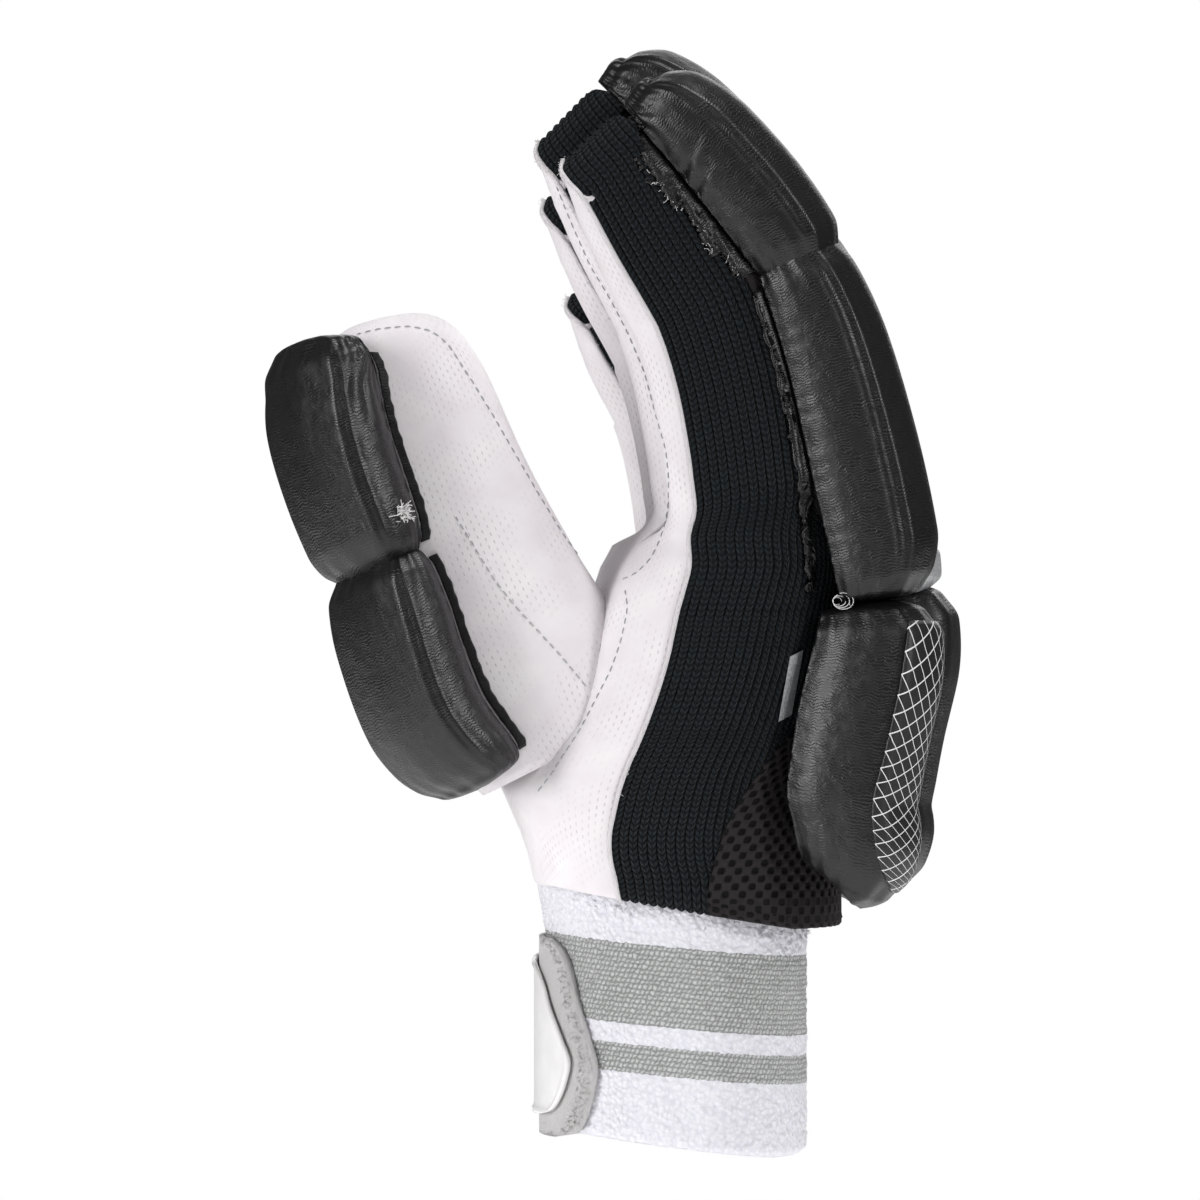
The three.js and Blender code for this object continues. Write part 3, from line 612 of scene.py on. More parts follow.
def towelling():
    # white terry with two bands of coarse grey knit, placed by the UV map up the cuff
    made, tree, surface = shader("towelling", (0.84, 0.83, 0.9), 0.95, 0.1, 0.3)
    where = add(tree, "TexCoord").outputs["UV"]
    parts = add(tree, "SeparateXYZ", {0: where})
    height = parts.outputs["Y"]
    ragged = times(tree, minus(tree, noiseAt(tree, where, 900, 3), 0.5), 0.0012)
    level = plus(tree, height, ragged)
    inside = None
    for low, high in cuff["bands"]:
        band = times(tree, sums(tree, "GREATER_THAN", level, low * mm),
                    sums(tree, "LESS_THAN", level, high * mm))
        inside = band if inside is None else plus(tree, inside, band)
    # slanted stitches of the grey bands
    slant = plus(tree, sums(tree, "DIVIDE", parts.outputs["X"], cuff["stitch"] * mm),
                 sums(tree, "DIVIDE", height, 2 * cuff["stitch"] * mm))
    sway = times(tree, noiseAt(tree, where, 700, 2), 1.1)
    rise = sums(tree, "DIVIDE", height, cuff["stitch"] * mm)
    coarse = times(tree, humps(tree, plus(tree, slant, sway)), humps(tree, plus(tree, rise, sway)))
    loops = add(tree, "TexVoronoi", {"Vector": where, "Scale": 820}).outputs["Distance"]
    nap = noiseAt(tree, where, 2600, 4, 0.7)
    dirt = noiseAt(tree, where, 60, 3)
    # painted shade: the grey knit is painted darker in the grooves between its stitches
    grey = ramp(tree, plus(tree, coarse, times(tree, minus(tree, dirt, 0.5), 0.3)),
                [(0.08, (0.33, 0.335, 0.33)), (0.4, (0.55, 0.555, 0.55)), (0.85, (0.68, 0.685, 0.69))])
    # painted shade: the white terry is painted darker round the edges of each loop, where the plush sinks
    white = ramp(tree, plus(tree, loops, times(tree, nap, 0.4)),
                 [(0.2, (0.94, 0.935, 0.975)), (1.0, (0.8, 0.79, 0.86))])
    link(tree, mixed(tree, inside, white, grey), surface, "Base Color")
    plush = times(tree, minus(tree, 1.0, loops), minus(tree, 1.0, inside))
    relief = plus(tree, times(tree, coarse, inside), plush)
    bumped(tree, surface, plus(tree, relief, times(tree, nap, 0.35)), 0.0007, 0.9)
    return made


def loopCloth():
    made, tree, surface = shader("loop cloth", (0.78, 0.75, 0.76), 0.95, 0.1, 0.4)
    where = add(tree, "TexCoord").outputs["Object"]
    fluff = noiseAt(tree, where, 1800, 5, 0.75, 1.2)
    bumped(tree, surface, fluff, 0.0012, 1.0)
    # painted shade: the loop cloth is painted darker where its fluff relief sits low
    painted(tree, surface, fluff, [(0.3, (0.86, 0.83, 0.83)), (0.6, (0.95, 0.93, 0.93))])
    return made


def whiteRubber():
    made, tree, surface = shader("white rubber", (0.86, 0.85, 0.85), 0.38)
    where = add(tree, "TexCoord").outputs["Object"]
    smudge = noiseAt(tree, where, 120, 4)
    pores = noiseAt(tree, where, 3000, 2)
    bumped(tree, surface, pores, 0.00006, 0.6)
    painted(tree, surface, smudge, [(0.3, (0.80, 0.79, 0.79)), (0.7, (0.88, 0.87, 0.87))])
    return made


def netPrint():
    # white diamond net printed on black coated cloth, closer set towards the outer edge and the foot
    made, tree, surface = shader("net print", (0.015, 0.014, 0.016), 0.4)
    where = add(tree, "TexCoord").outputs["UV"]
    parts = add(tree, "SeparateXYZ", {0: where})
    lines = None
    for slant in (1, -1):
        run = plus(tree, times(tree, parts.outputs["X"], slant * 1.15), parts.outputs["Y"])
        cell = sums(tree, "FRACT", sums(tree, "DIVIDE", run, net["cell"] * mm))
        near = sums(tree, "ABSOLUTE", minus(tree, cell, 0.5))
        line = sums(tree, "LESS_THAN", near, 0.5 * net["line"] / net["cell"])
        lines = line if lines is None else sums(tree, "MAXIMUM", lines, line)
    fine = noiseAt(tree, where, 2500, 2)
    bumped(tree, surface, plus(tree, times(tree, lines, 0.6), times(tree, fine, 0.3)), 0.0002, 0.8)
    link(tree, mixed(tree, lines, (0.012, 0.011, 0.012, 1), (0.82, 0.82, 0.82, 1)), surface, "Base Color")
    return made


def silverCloth():
    made, tree, surface = shader("silver cloth", (0.5, 0.51, 0.52), 0.45)
    where = add(tree, "TexCoord").outputs["Object"]
    weave = add(tree, "TexVoronoi", {"Vector": where, "Scale": 1700}).outputs["Distance"]
    bumped(tree, surface, weave, 0.00015, 0.7)
    painted(tree, surface, weave, [(0.1, (0.56, 0.57, 0.58)), (0.8, (0.36, 0.37, 0.38))])
    surface.inputs["Metallic"].default_value = 0.35
    return made


def thread(name, colour):
    made, tree, surface = shader(name, colour, 0.7)
    where = add(tree, "TexCoord").outputs["Object"]
    bumped(tree, surface, noiseAt(tree, where, 5000, 2), 0.0001, 0.6)
    return made


padGrain = {"pitch": 0.8}
knit = {"wall": 1.2, "rib": 2.35, "stitch": 1.6, "relief": 1.0, "columns": 110, "spacing": 1.3}
leather = {"rowGap": 1.5, "dashGap": 2.1, "wall": 1.6, "columns": 30, "spacing": 2.2}
cuff = {
    "columns": 301, "rows": 92, "drop": 3, "tuck": 5, "depth": 66, "breadth": 78, "centre": 0.8, "wall": 2.6,
    "squareness": 2.25, "flare": 3.4, "flareFrom": 0.72, "flareRun": 0.28, "tilt": 0.095, "stitch": 1.25,
    "terry": 0.55, "rollRows": 3, "footRoll": 1.8, "topRoll": 1.2, "bands": [(30.3, 50.5), (18.1, 25.2)],
}
net = {"cell": 6.4, "line": 0.5}
meshPanel = {
    "columns": 250, "rows": 64, "wall": 2.0, "cellWidth": 4.4, "cellHeight": 4.0, "relief": 0.8, "stand": 0.9,
}

looks = {
    "pad": blackPad(), "knit": ribbedKnit(), "leather": whiteLeather(), "cloth": backingCloth(),
    "mesh": airMesh(), "towel": towelling(), "loop": loopCloth(), "rubber": whiteRubber(),
    "net": netPrint(), "silver": silverCloth(), "white thread": thread("white thread", (0.75, 0.74, 0.74)),
    "grey thread": thread("grey thread", (0.42, 0.42, 0.44)),
}
print("materials made:", len(looks))


# The hem turns in at the wrist: how far in and how far up each row of the fold lies
hemRoll = [(2.6, 1.6), (1.6, -0.5), (0.5, -0.6)]
handUps = [0.05 * k for k in range(17)]  # hem to knuckles


def tipEdge(one, turn):
    # where the knit wraps over the fingertip: along, its palm and back edges, and the place across
    along = 0.9 + 0.1 * sin(turn) ** 0.8
    depth, sink = readAt(finger["sections"], along, 2), readAt(finger["sections"], along, 4)
    width = readAt(finger["sections"], 0.9, 3) * finger["width"] / 2
    low = -(depth + sink) * one["depth"] + finger["strip"] * (1 - sin(turn) ** 0.5)
    top = -sink * one["depth"] - finger["flange"] * (1 - sin(turn) ** 0.5)
    return along, low, top, one["side"] - cos(turn) * width * 0.98


# Palm leather: four finger fronts that run down into one palm
def skinRows(one, kind, columns):
    # rows of points from the hem to the fingertip, and how many belong to the hand
    rows = []
    near, far = bandTurns(one, kind, up=0)
    for turnedIn, raised in hemRoll:
        row = evenRing(lambda turns: handRing(0, turns, -turnedIn), near, far, columns)
        rows.append(row + np.array([0, 0, raised]))
    for up in handUps:
        near, far = bandTurns(one, kind, up=up)
        rows.append(evenRing(lambda turns: handRing(up, turns), near, far, columns))
    fromAlong, toAlong = finger["crotch"], 0.9 if kind == "palm" else finger["sideEnd"]
    for k in range(finger["frontRows"]):
        along = fromAlong + (toAlong - fromAlong) * k / (finger["frontRows"] - 1)
        near, far = bandTurns(one, kind, along=along)
        rows.append(evenRing(lambda turns: fingerRing(one, along, turns), near, far, columns))
    if kind == "palm":
        places = [tipEdge(one, turn) for turn in np.linspace(0, pi, columns)]
        edge = np.array([placed(one["line"], along, np.array([low - 0.1]), np.array([side]))[0]
                         for along, low, top, side in places])
        start = rows[-1]
        for share in (0.2, 0.4, 0.6, 0.8, 1.0):
            rows.append(start + (edge - start) * share)
    return rows, len(handUps) + len(hemRoll)


def joinedSheet(name, kind, columns, spacing, facing, material, slot, node, wall):
    # one sheet from the four fingers' columns, which share their edges on the hand
    parts = []
    for one in fingers:
        rows, handRows = skinRows(one, kind, columns)
        low = [a + (b - a) * t for a, b in zip(rows, rows[1:handRows]) for t in (0, 0.5)]
        points = np.concatenate([np.array(low), refine(rows[handRows - 1:], spacing)])
        parts.append(sheetMesh(name, points, facing=(points[10, columns // 2], facing)))
    bm = bmesh.new()
    for part in parts:
        bm.from_mesh(part.data)
        bpy.data.objects.remove(part)
    bmesh.ops.remove_doubles(bm, verts=bm.verts, dist=0.0002)
    piece = finished(name, bm)
    thicken(piece, wall)
    dress(piece, material, slot, node)
    return piece


joinedSheet("palmLeather", "palm", leather["columns"], leather["spacing"], (-1, 0, 0),
            looks["leather"], "white_leather", "palm_leather", leather["wall"])
joinedSheet("backPanel", "back", leather["columns"], leather["spacing"], (1, 0, 0),
            looks["cloth"], "backing_cloth", "back_panel", 2.0)
print("palm and back made")


# Ribbed knit: a ribbon up one side of each finger, over its tip and down the other side
def knitRows(one, columns):
    first, last = one is fingers[0], one is fingers[-1]

    def side(far):
        made = []
        if (first and not far) or (last and far):
            folds = [(0, turnedIn, raised) for turnedIn, raised in hemRoll]
            for up, turnedIn, raised in folds + [(up, 0, 0) for up in handUps]:
                palmTurn = handSeamTurn(up, 1, far)
                backTurn = handSeamTurn(up, 2, far)
                if far:
                    palmTurn, backTurn = 2 * pi - palmTurn, 2 * pi - backTurn
                row = evenRing(lambda turns: handRing(up, turns, -turnedIn), palmTurn, backTurn, columns)
                made.append(row + np.array([0, 0, raised]))
        start = finger["crotch"] if made else 0.1
        for k in range(finger["sideRows"]):
            along = start + (0.9 - start) * k / (finger["sideRows"] - 1)
            palmTurn = fingerSeamTurn(one, along, 1)
            backTurn = fingerSeamTurn(one, along, 2)
            if far:
                palmTurn, backTurn = 2 * pi - palmTurn, 2 * pi - backTurn
            made.append(evenRing(lambda turns: fingerRing(one, along, turns), palmTurn, backTurn, columns))
        return made

    near, away = side(False), side(True)
    tip = []
    for k in range(1, finger["tipRows"]):
        turn = pi * k / finger["tipRows"]
        along, low, top, place = tipEdge(one, turn)
        out = np.linspace(low, top, columns)
        tip.append(placed(one["line"], along, out, place))
    return np.array(near + tip + away[::-1])


def acrossCloth(points):
    # distance of each point from its row's first edge, along the cloth
    steps = stepsOf(points, 1)
    return np.concatenate([np.zeros((len(points), 1)), np.cumsum(steps, axis=1)], axis=1)


def alongCloth(points, finer=1):
    # distance of each row from the first, along the cloth
    run = runOf(stepsOf(points).mean(axis=1) * finer)
    return np.repeat(run[:, None], points.shape[1], axis=1)


def ribbed(points, normals, across):
    # each rib stands up in a soft ridge along the cloth
    wave = np.abs(np.sin(across / knit["rib"] * pi)) ** 0.6
    return points + normals * (wave[..., None] - 0.7) * knit["relief"]


def sheetNormals(points, facing):
    du = np.gradient(points, axis=1)
    dv = np.gradient(points, axis=0)
    normals = np.cross(du, dv)
    normals /= np.linalg.norm(normals, axis=2)[..., None] + 1e-9
    middle = normals[len(points) // 8, points.shape[1] // 2]
    return normals if np.dot(middle, facing) > 0 else -normals


knitEdges = []
for one in fingers:
    points = refine(knitRows(one, knit["columns"] + 1), knit["spacing"])
    across = acrossCloth(points)
    facing = (0, -1, 0)
    knitEdges.append((points[:, 0], sheetNormals(points, facing)[:, 0]))
    points = ribbed(points, sheetNormals(points, facing), across)
    uv = np.stack([across, alongCloth(points)], -1)
    clothPiece("knit" + one["name"].capitalize(), points, knit["wall"], "knit", "ribbed_knit",
               "knit_" + one["name"], uv=uv, facing=(points[len(points) // 8, points.shape[1] // 2], facing))
print("knit made")


# Wrist mesh: a band round the back of the wrist, from one side of the knit to the other
def meshBand():
    rows = []
    folds = [(0, turnedIn, raised) for turnedIn, raised in hemRoll]
    ups = [(hand["meshTop"] * k / (meshPanel["rows"] - 1), 0, 0) for k in range(meshPanel["rows"])]
    for up, turnedIn, raised in folds + ups:
        near = handSeamTurn(up, 2, False)
        far = handSeamTurn(up, 2, True)
        grow = meshPanel["stand"] - turnedIn
        row = evenRing(lambda turns: handRing(up, turns, grow), near, -far, meshPanel["columns"])
        rows.append(row + np.array([0, 0, raised]))
    return np.array(rows)


points = meshBand()
across = acrossCloth(points)
along = alongCloth(points)
holes = np.cos(across * 2 * pi / meshPanel["cellWidth"]) * np.cos(along * 2 * pi / meshPanel["cellHeight"])
normals = sheetNormals(points, (1, 0, 0))
points = points - normals * meshPanel["relief"] * np.clip(holes[..., None], 0, 1) ** 0.7
clothPiece("wristMesh", points, meshPanel["wall"], "mesh", "air_mesh", "wrist_mesh",
           uv=np.stack([across, along], -1), facing=(points[8, meshPanel["columns"] // 2], (1, 0, 0)))
print("wrist mesh made")


# Thumb sleeve: a closed tube of leather that opens into the palm
def insideHand(point, depth):
    # how far inside the hand's own form a point lies
    up = (point[2] - hand["wrist"]) / hand["height"]
    if up > 1 or up < -0.05:
        return False
    half = halfBreadth(up) - depth
    across = point[1] / half
    if abs(across) >= 1:
        return False
    palm, back = handLimits(up, across)
    share = (1 - abs(across) ** hand["squareness"]) ** (1 / hand["squareness"])
    middle, reach = (palm + back) / 2, (back - palm) / 2 - depth
    return abs(point[0] - middle) < reach * share


thumbRows = []
sleeve = {"columns": 65, "rows": 44, "end": 0.985, "spacing": 2.4, "wall": 1.6, "hidden": 2.5}
for k in range(sleeve["rows"]):
    along = k / (sleeve["rows"] - 1) * sleeve["end"]
    thumbRows.append(evenRing(lambda turns: thumbRing(along, turns), 0, 2 * pi, sleeve["columns"]))
tipCentre = placed(thumb["line"], 1.0, np.array([0.0]), np.array([-thumb["side"] - thumb["bulge"]]), 0.6)[0]
for share in (0.75, 0.45, 0.15, 0.0):
    ring = thumbRing(1.0, np.linspace(0, 2 * pi, sleeve["columns"]))
    thumbRows.append(tipCentre + (ring - tipCentre) * share)
points = refine(thumbRows, sleeve["spacing"])
keep = np.array([[not insideHand(point, sleeve["hidden"]) for point in row] for row in points])
clothPiece("thumbSleeve", points, sleeve["wall"], "leather", "white_leather", "thumb_sleeve", closed=True,
           facing=(points[len(points) // 2, sleeve["columns"] // 4], (0, -1, 0)), keep=keep)
print("thumb sleeve made")


# Pads: foam sewn under black leather. Rows are along, width, height and lean of the crown.
padShape = {
    "outline": [  # across, height
        (-0.43, 0.0), (-0.497, 0.25), (-0.495, 0.6), (-0.445, 0.82), (-0.33, 0.915), (0.0, 1.0),
        (0.33, 0.915), (0.445, 0.82), (0.495, 0.6), (0.497, 0.25), (0.43, 0.0),
    ],
    "caps": [(0.3, 1.0), (0.62, 0.9), (0.84, 0.62), (0.95, 0.3)],  # shrink, push
    "foot": 1.4, "fingerWidth": 24.6, "around": 100, "spacing": 1.0, "bulge": 2.2, "top": 0.72,
    "tip": (0.985, 0.575), "lower": 0.56,
}
tipSections = [
    (0.0, 0.52, 0.36, 0.05),
    (0.05, 0.72, 0.55, 0.12),
    (0.17, 0.90, 0.80, 0.16),
    (0.40, 0.99, 0.97, 0.10),
    (0.70, 1.00, 1.02, -0.04),
    (0.92, 0.97, 1.00, -0.16),
    (1.0, 0.86, 0.86, -0.22),
]
fingerSections = [
    (0.0, 0.86, 0.84, 0.10),
    (0.07, 0.98, 0.97, 0.08),
    (0.30, 1.00, 1.10, 0.05),
    (0.65, 1.00, 1.18, 0.00),
    (0.85, 1.00, 1.16, -0.03),
    (0.95, 0.98, 1.02, -0.05),
    (1.0, 0.88, 0.84, -0.05),
]
handSections = [
    (0.0, 0.88, 0.76, 0.10),
    (0.08, 0.98, 0.92, 0.08),
    (0.30, 1.00, 1.00, 0.00),
    (0.60, 0.99, 0.97, -0.10),
    (0.85, 0.96, 0.92, -0.25),
    (0.95, 0.90, 0.80, -0.35),
    (1.0, 0.78, 0.60, -0.42),
]
knuckleSections = [
    (0.0, 0.90, 0.80, 0.0),
    (0.25, 1.00, 1.00, 0.0),
    (0.75, 1.00, 1.02, 0.0),
    (1.0, 0.94, 0.88, 0.0),
]
thumbSections = [
    (0.0, 0.80, 0.66, 0.10),
    (0.08, 0.95, 0.88, 0.06),
    (0.30, 1.02, 1.00, 0.02),
    (0.60, 1.00, 1.03, 0.00),
    (0.85, 0.98, 0.98, 0.00),
    (0.95, 0.92, 0.86, -0.04),
    (1.0, 0.80, 0.68, -0.08),
]
handPads = [
    {"name": "handPadThumbSide", "node": "hand_pad_thumb_side", "centre": -0.35, "width": 0.29, "slope": 0.42,
     "thickness": 29, "lift": 0, "low": 0.105, "high": 0.635, "sections": handSections},
    {"name": "handPadMiddle", "node": "hand_pad_middle", "centre": 0, "width": 0.375, "slope": 0,
     "thickness": 29, "lift": 2, "low": 0.12, "high": 0.67, "sections": handSections},
    {"name": "knucklePatch", "node": "knuckle_patch", "centre": 0, "width": 0.47, "slope": 0,
     "thickness": 21, "lift": 2, "low": 0.705, "high": 0.81, "sections": knuckleSections},
    {"name": "handPadOuter", "node": "hand_pad_outer", "centre": 0.35, "width": 0.29, "slope": -0.42,
     "thickness": 25, "lift": 0, "low": 0.08, "high": 0.63, "sections": handSections},
]
thumbPads = [
    {"name": "thumbTipPad", "node": "thumb_tip_pad", "start": 0.965, "end": 0.525, "width": 36,
     "thickness": 15.5},
    {"name": "thumbPad", "node": "thumb_pad", "start": 0.51, "end": 0.045, "width": 37, "thickness": 15.5},
]


def seatOnFinger(one, start, end):
    turn = atan(one["slope"])
    rise = abs(one["slope"]) * finger["width"] / 2

    def seat(share):
        along = start + (end - start) * share
        x, z, lean = onLine(one["line"], along)
        beyond = min(along - finger["begin"], 0) * one["length"]
        return (x + cos(lean) * rise - sin(lean) * beyond, one["side"],
                z + sin(lean) * rise + cos(lean) * beyond, lean, turn, 1)

    return seat


def seatOnHand(pad):
    def seat(share):
        up = pad["high"] + (pad["low"] - pad["high"]) * share
        arch = hand["arch"] * (1 - (2 * pad["centre"]) ** 2)
        step = 0.02
        above, at, below = [readAt(hand["sections"], up + d, 2) * hand["depth"] for d in (step, 0, -step)]
        lean = atan2(below - above, 2 * step * hand["height"]) * 0.4
        return (at + arch + pad["lift"], pad["centre"] * hand["breadth"], heightAt(up), lean,
                atan(pad["slope"]), 1)

    return seat


def seatOnThumb(pad):
    turn = radians(thumb["padTurn"])

    def seat(share):
        along = pad["start"] + (pad["end"] - pad["start"]) * share
        held = min(max(along, 0), 0.9)
        x, z, lean = onLine(thumb["line"], along)
        width = readAt(thumb["sections"], held, 2) * thumb["width"] / 2
        thickness = readAt(thumb["sections"], held, 3) * thumb["thickness"] / 2
        x -= cos(lean) * width * cos(turn) * 0.93
        z -= sin(lean) * width * cos(turn) * 0.93
        side = -thumb["side"] - thumb["bulge"] * along - thickness * sin(turn) * 0.93
        return x, side, z, lean, turn, -1

    return seat


def smoothOutline(count):
    # the pad's outline as an even closed curve, from one foot over the crown to the other and back below
    corners = np.array(padShape["outline"])
    fine = []
    for s in np.linspace(0, len(corners) - 1, 400):
        i = min(int(s), len(corners) - 2)
        before, after = corners[max(i - 1, 0)], corners[min(i + 2, len(corners) - 1)]
        a, b, t = corners[i], corners[i + 1], s - i
        fine.append(blend(t, a, b, (b - before) / 2, (after - a) / 2))
    fine = np.array(fine)
    run = runOf(stepsOf(fine))
    top = round(count * padShape["top"])
    over = readRun(np.linspace(0, run[-1], top), run, fine)
    under = np.linspace(over[-1], over[0], count - top + 2)[1:]
    return np.concatenate([over, under])


def outlineNormals(outline):
    # which way each point of the outline faces, as across and height
    step = np.roll(outline, -1, axis=0) - np.roll(outline, 1, axis=0)
    normals = np.stack([-step[:, 1], step[:, 0]], -1)
    return normals / (np.linalg.norm(normals, axis=1)[:, None] + 1e-9)


def padRow(seat, sections, share, width, thickness, outline, shrink=1.0, push=0.0, relief=None):
    x, side, z, lean, turn, sense = seat(min(max(share, 0), 1))
    rowWidth = readAt(sections, share, 1) * width * shrink
    crown = readAt(sections, share, 2) * thickness
    crown = crown * (0.35 + 0.65 * shrink)
    height = outline[:, 1] * (crown + padShape["foot"]) - padShape["foot"]
    slide = readAt(sections, share, 3) * thickness * outline[:, 1] + push
    across = outline[:, 0] * rowWidth
    if relief is not None:
        normals = outlineNormals(outline)
        across = across + normals[:, 0] * relief
        height = height + normals[:, 1] * relief
    out = (height * cos(turn) + across * sin(turn)) * sense
    y = side + across * cos(turn) - height * sin(turn)
    x = x + out * cos(lean) - slide * sin(lean)
    z = z + out * sin(lean) + slide * cos(lean)
    return np.stack([x, y, z], -1)


# How the leather is sewn down: ridges along the crown, gathers at the ends, pinches beside the foot
sewing = {
    "ridges": [(0.285, 0.55), (0.33, 0.45)], "ridgeWidth": 0.014, "ridgeGap": 0.3,
    "endDepth": 0.55, "endReach": 4.5, "endCount": 11,
    "footDepth": 0.3, "footReach": 5.0, "footPitch": 7.0,
    "fanCount": 13, "fanReach": 10.0, "pinchWidth": 1.3, "pinchReach": 6.0,
}


def padRelief(along, length, around, arc, sewn):
    # height of the leather over the pad's plain form, from the place along it and around it in mm
    share = along / length
    near = np.minimum(arc, 1 - arc)
    relief = np.zeros_like(arc)
    calm = np.clip(min(share, 1 - share) / 0.1, 0, 1)
    if sewn.get("ridge"):
        for place, high in sewing["ridges"]:
            relief += high * sewn["ridge"] * calm * np.exp(-((near - place) / sewing["ridgeWidth"]) ** 2)
        gap = sum(place for place, high in sewing["ridges"]) / len(sewing["ridges"])
        relief -= sewing["ridgeGap"] * sewn["ridge"] * calm * np.exp(-((near - gap) / 0.012) ** 2)
    wave = 0.5 + 0.5 * np.sin(arc * sewing["endCount"] * 2 * pi + sewn["seed"] + 2 * np.sin(arc * 9))
    for reach in (along, length - along):
        relief -= sewing["endDepth"] * wave * np.exp(-reach / sewing["endReach"])
    pucker = 0.5 + 0.5 * sin(along * 2 * pi / sewing["footPitch"] + 1.7 * sin(along * 0.31 + sewn["seed"]))
    relief -= sewing["footDepth"] * pucker * np.exp(-near * around / sewing["footReach"])
    if sewn.get("fan"):
        start, depth = sewn["fan"]
        side = (arc - start) * around
        radius = np.hypot(side, along)
        angle = np.arctan2(side, along + 0.01)
        fold = np.abs(np.sin(angle * sewing["fanCount"] / 2 + 0.6 * np.sin(radius * 0.4))) ** 0.7
        relief -= depth * (1 - fold) * np.exp(-radius / sewing["fanReach"]) * np.clip(radius / 3, 0, 1)
    for place, depth in sewn.get("pinches", ()):
        line = along - place * length + 0.35 * arc * around
        fold = np.exp(-(line / sewing["pinchWidth"]) ** 2) - 0.5 * np.exp(-((line - 2.6) / 1.4) ** 2)
        relief -= depth * fold * np.exp(-arc * around / sewing["pinchReach"])
    return relief


def padRows(seat, sections, width, thickness, length, sewn):
    def row(share, shrink=1.0, push=0.0):
        relief = padRelief(share * length, length, around, arc, sewn) * shrink**2
        relief = np.where(under, 0, relief)
        push *= padShape["bulge"]
        return padRow(seat, sections, share, width, thickness, outline, shrink, push, relief)

    outline = smoothOutline(padShape["around"])
    top = round(padShape["around"] * padShape["top"])
    arc = np.clip(np.arange(len(outline)) / (top - 1), 0, 1)
    around = 2 * thickness + width
    under = np.arange(len(outline)) >= top
    count = ceil(length / padShape["spacing"])
    rows = [row(0, shrink, push) for shrink, push in padShape["caps"]]
    rows += [row(k / count) for k in range(count + 1)]
    rows += [row(1, shrink, -push) for shrink, push in reversed(padShape["caps"])]
    return np.array(rows)


def padPiece(name, node, seat, sections, width, thickness, length, sewn, material="pad", slot="black_pad"):
    points = padRows(seat, sections, width, thickness, length, sewn)
    piece = sheetMesh(name, points, closed=True)
    bm = bmesh.new()
    bm.from_mesh(piece.data)
    ends = bmesh.ops.holes_fill(bm, edges=[edge for edge in bm.edges if edge.is_boundary], sides=0)
    bmesh.ops.triangulate(bm, faces=ends["faces"])
    bmesh.ops.recalc_face_normals(bm, faces=bm.faces)
    bm.to_mesh(piece.data)
    bm.free()
    piece.data.shade_smooth()
    subdivide(piece)
    dress(piece, looks[material], slot, node)
    return piece


for count, one in enumerate(fingers):
    for name, start, end, sections in (
        ("tipPad", *padShape["tip"], tipSections),
        ("fingerPad", padShape["lower"], one["heel"], fingerSections),
    ):
        node = {"tipPad": "tip_pad_", "fingerPad": "finger_pad_"}[name] + one["name"]
        sewn = {"seed": 1.3 * count, "ridge": 1.0}
        if name == "tipPad":
            sewn.update(ridge=0.7, fan=(0.03, 1.1), pinches=[(0.42, 1.1), (0.52, 0.7)])
        padPiece(name + one["name"].capitalize(), node, seatOnFinger(one, start, end), sections,
                 padShape["fingerWidth"], one["pad"], (start - end) * one["length"] * 1.2, sewn)
for count, pad in enumerate(handPads):
    silver = pad["node"] == "knuckle_patch"
    padPiece(pad["name"], pad["node"], seatOnHand(pad), pad["sections"], pad["width"] * hand["breadth"],
             pad["thickness"], (pad["high"] - pad["low"]) * hand["height"], {"seed": 0.8 * count},
             "silver" if silver else "pad", "silver_cloth" if silver else "black_pad")
for count, pad in enumerate(thumbPads):
    sewn = {"seed": 2.1 * count, "ridge": 0.6}
    if count == 0:
        sewn["fan"] = (0.05, 2.0)
    padPiece(pad["name"], pad["node"], seatOnThumb(pad), thumbSections, pad["width"], pad["thickness"],
             (pad["start"] - pad["end"]) * thumb["length"], sewn)
print("pads made")


# Cuff: a tube of towelling, tucked into the hand at its top
def cuffPoint(turns, z, grow=0.0):
    x = cuff["centre"] + soften(np.cos(turns), cuff["squareness"]) * (cuff["depth"] / 2 + grow)
    y = -soften(np.sin(turns), cuff["squareness"]) * (cuff["breadth"] / 2 + grow)
    return np.stack([x, y, z + 0 * x], -1)


def cuffFoot(x):
    share = np.clip((x + cuff["depth"] * 0.35) / (cuff["depth"] * 0.75), 0, 1)
    return cuff["drop"] - 2 * cuff["drop"] * share


base = evenRing(lambda turns: cuffPoint(turns, 0.0), 0, 2 * pi, cuff["columns"])
points = np.repeat(base[None], cuff["rows"], axis=0)
top = hemHeight(base[:, 0]) + cuff["tuck"] - 1
foot = cuffFoot(base[:, 0])
palmSide = np.clip(-base[:, 0] / (cuff["depth"] / 2), 0, 1) ** 2
outward = base - np.array([cuff["centre"], 0, 0])
outward /= np.linalg.norm(outward, axis=1)[:, None]
for row, share in enumerate(np.linspace(0, 1, cuff["rows"])):
    points[row, :, 2] = foot + (top - foot) * share
    points[row, :, 0] -= palmSide * cuff["flare"] * max(0, share - cuff["flareFrom"]) / cuff["flareRun"]
    terry = [noise.noise(Vector(place) * 0.75) + 0.6 * noise.noise(Vector(place) * 1.7)
             for place in points[row]]
    roll = max(0, 1 - row / cuff["rollRows"]) ** 2 * cuff["footRoll"]
    roll += max(0, 1 - (cuff["rows"] - 1 - row) / cuff["rollRows"]) ** 2 * cuff["topRoll"]
    points[row] += outward * (np.array(terry)[:, None] * cuff["terry"] - roll)
around = np.repeat(runOf(stepsOf(base))[None], cuff["rows"], axis=0)
uv = np.stack([around, points[..., 2] + cuff["tilt"] * points[..., 0]], -1)
clothPiece("cuff", points, cuff["wall"], "towel", "towelling", "cuff", uv=uv, closed=True,
           facing=(points[20, 45], (0, -1, 0)))

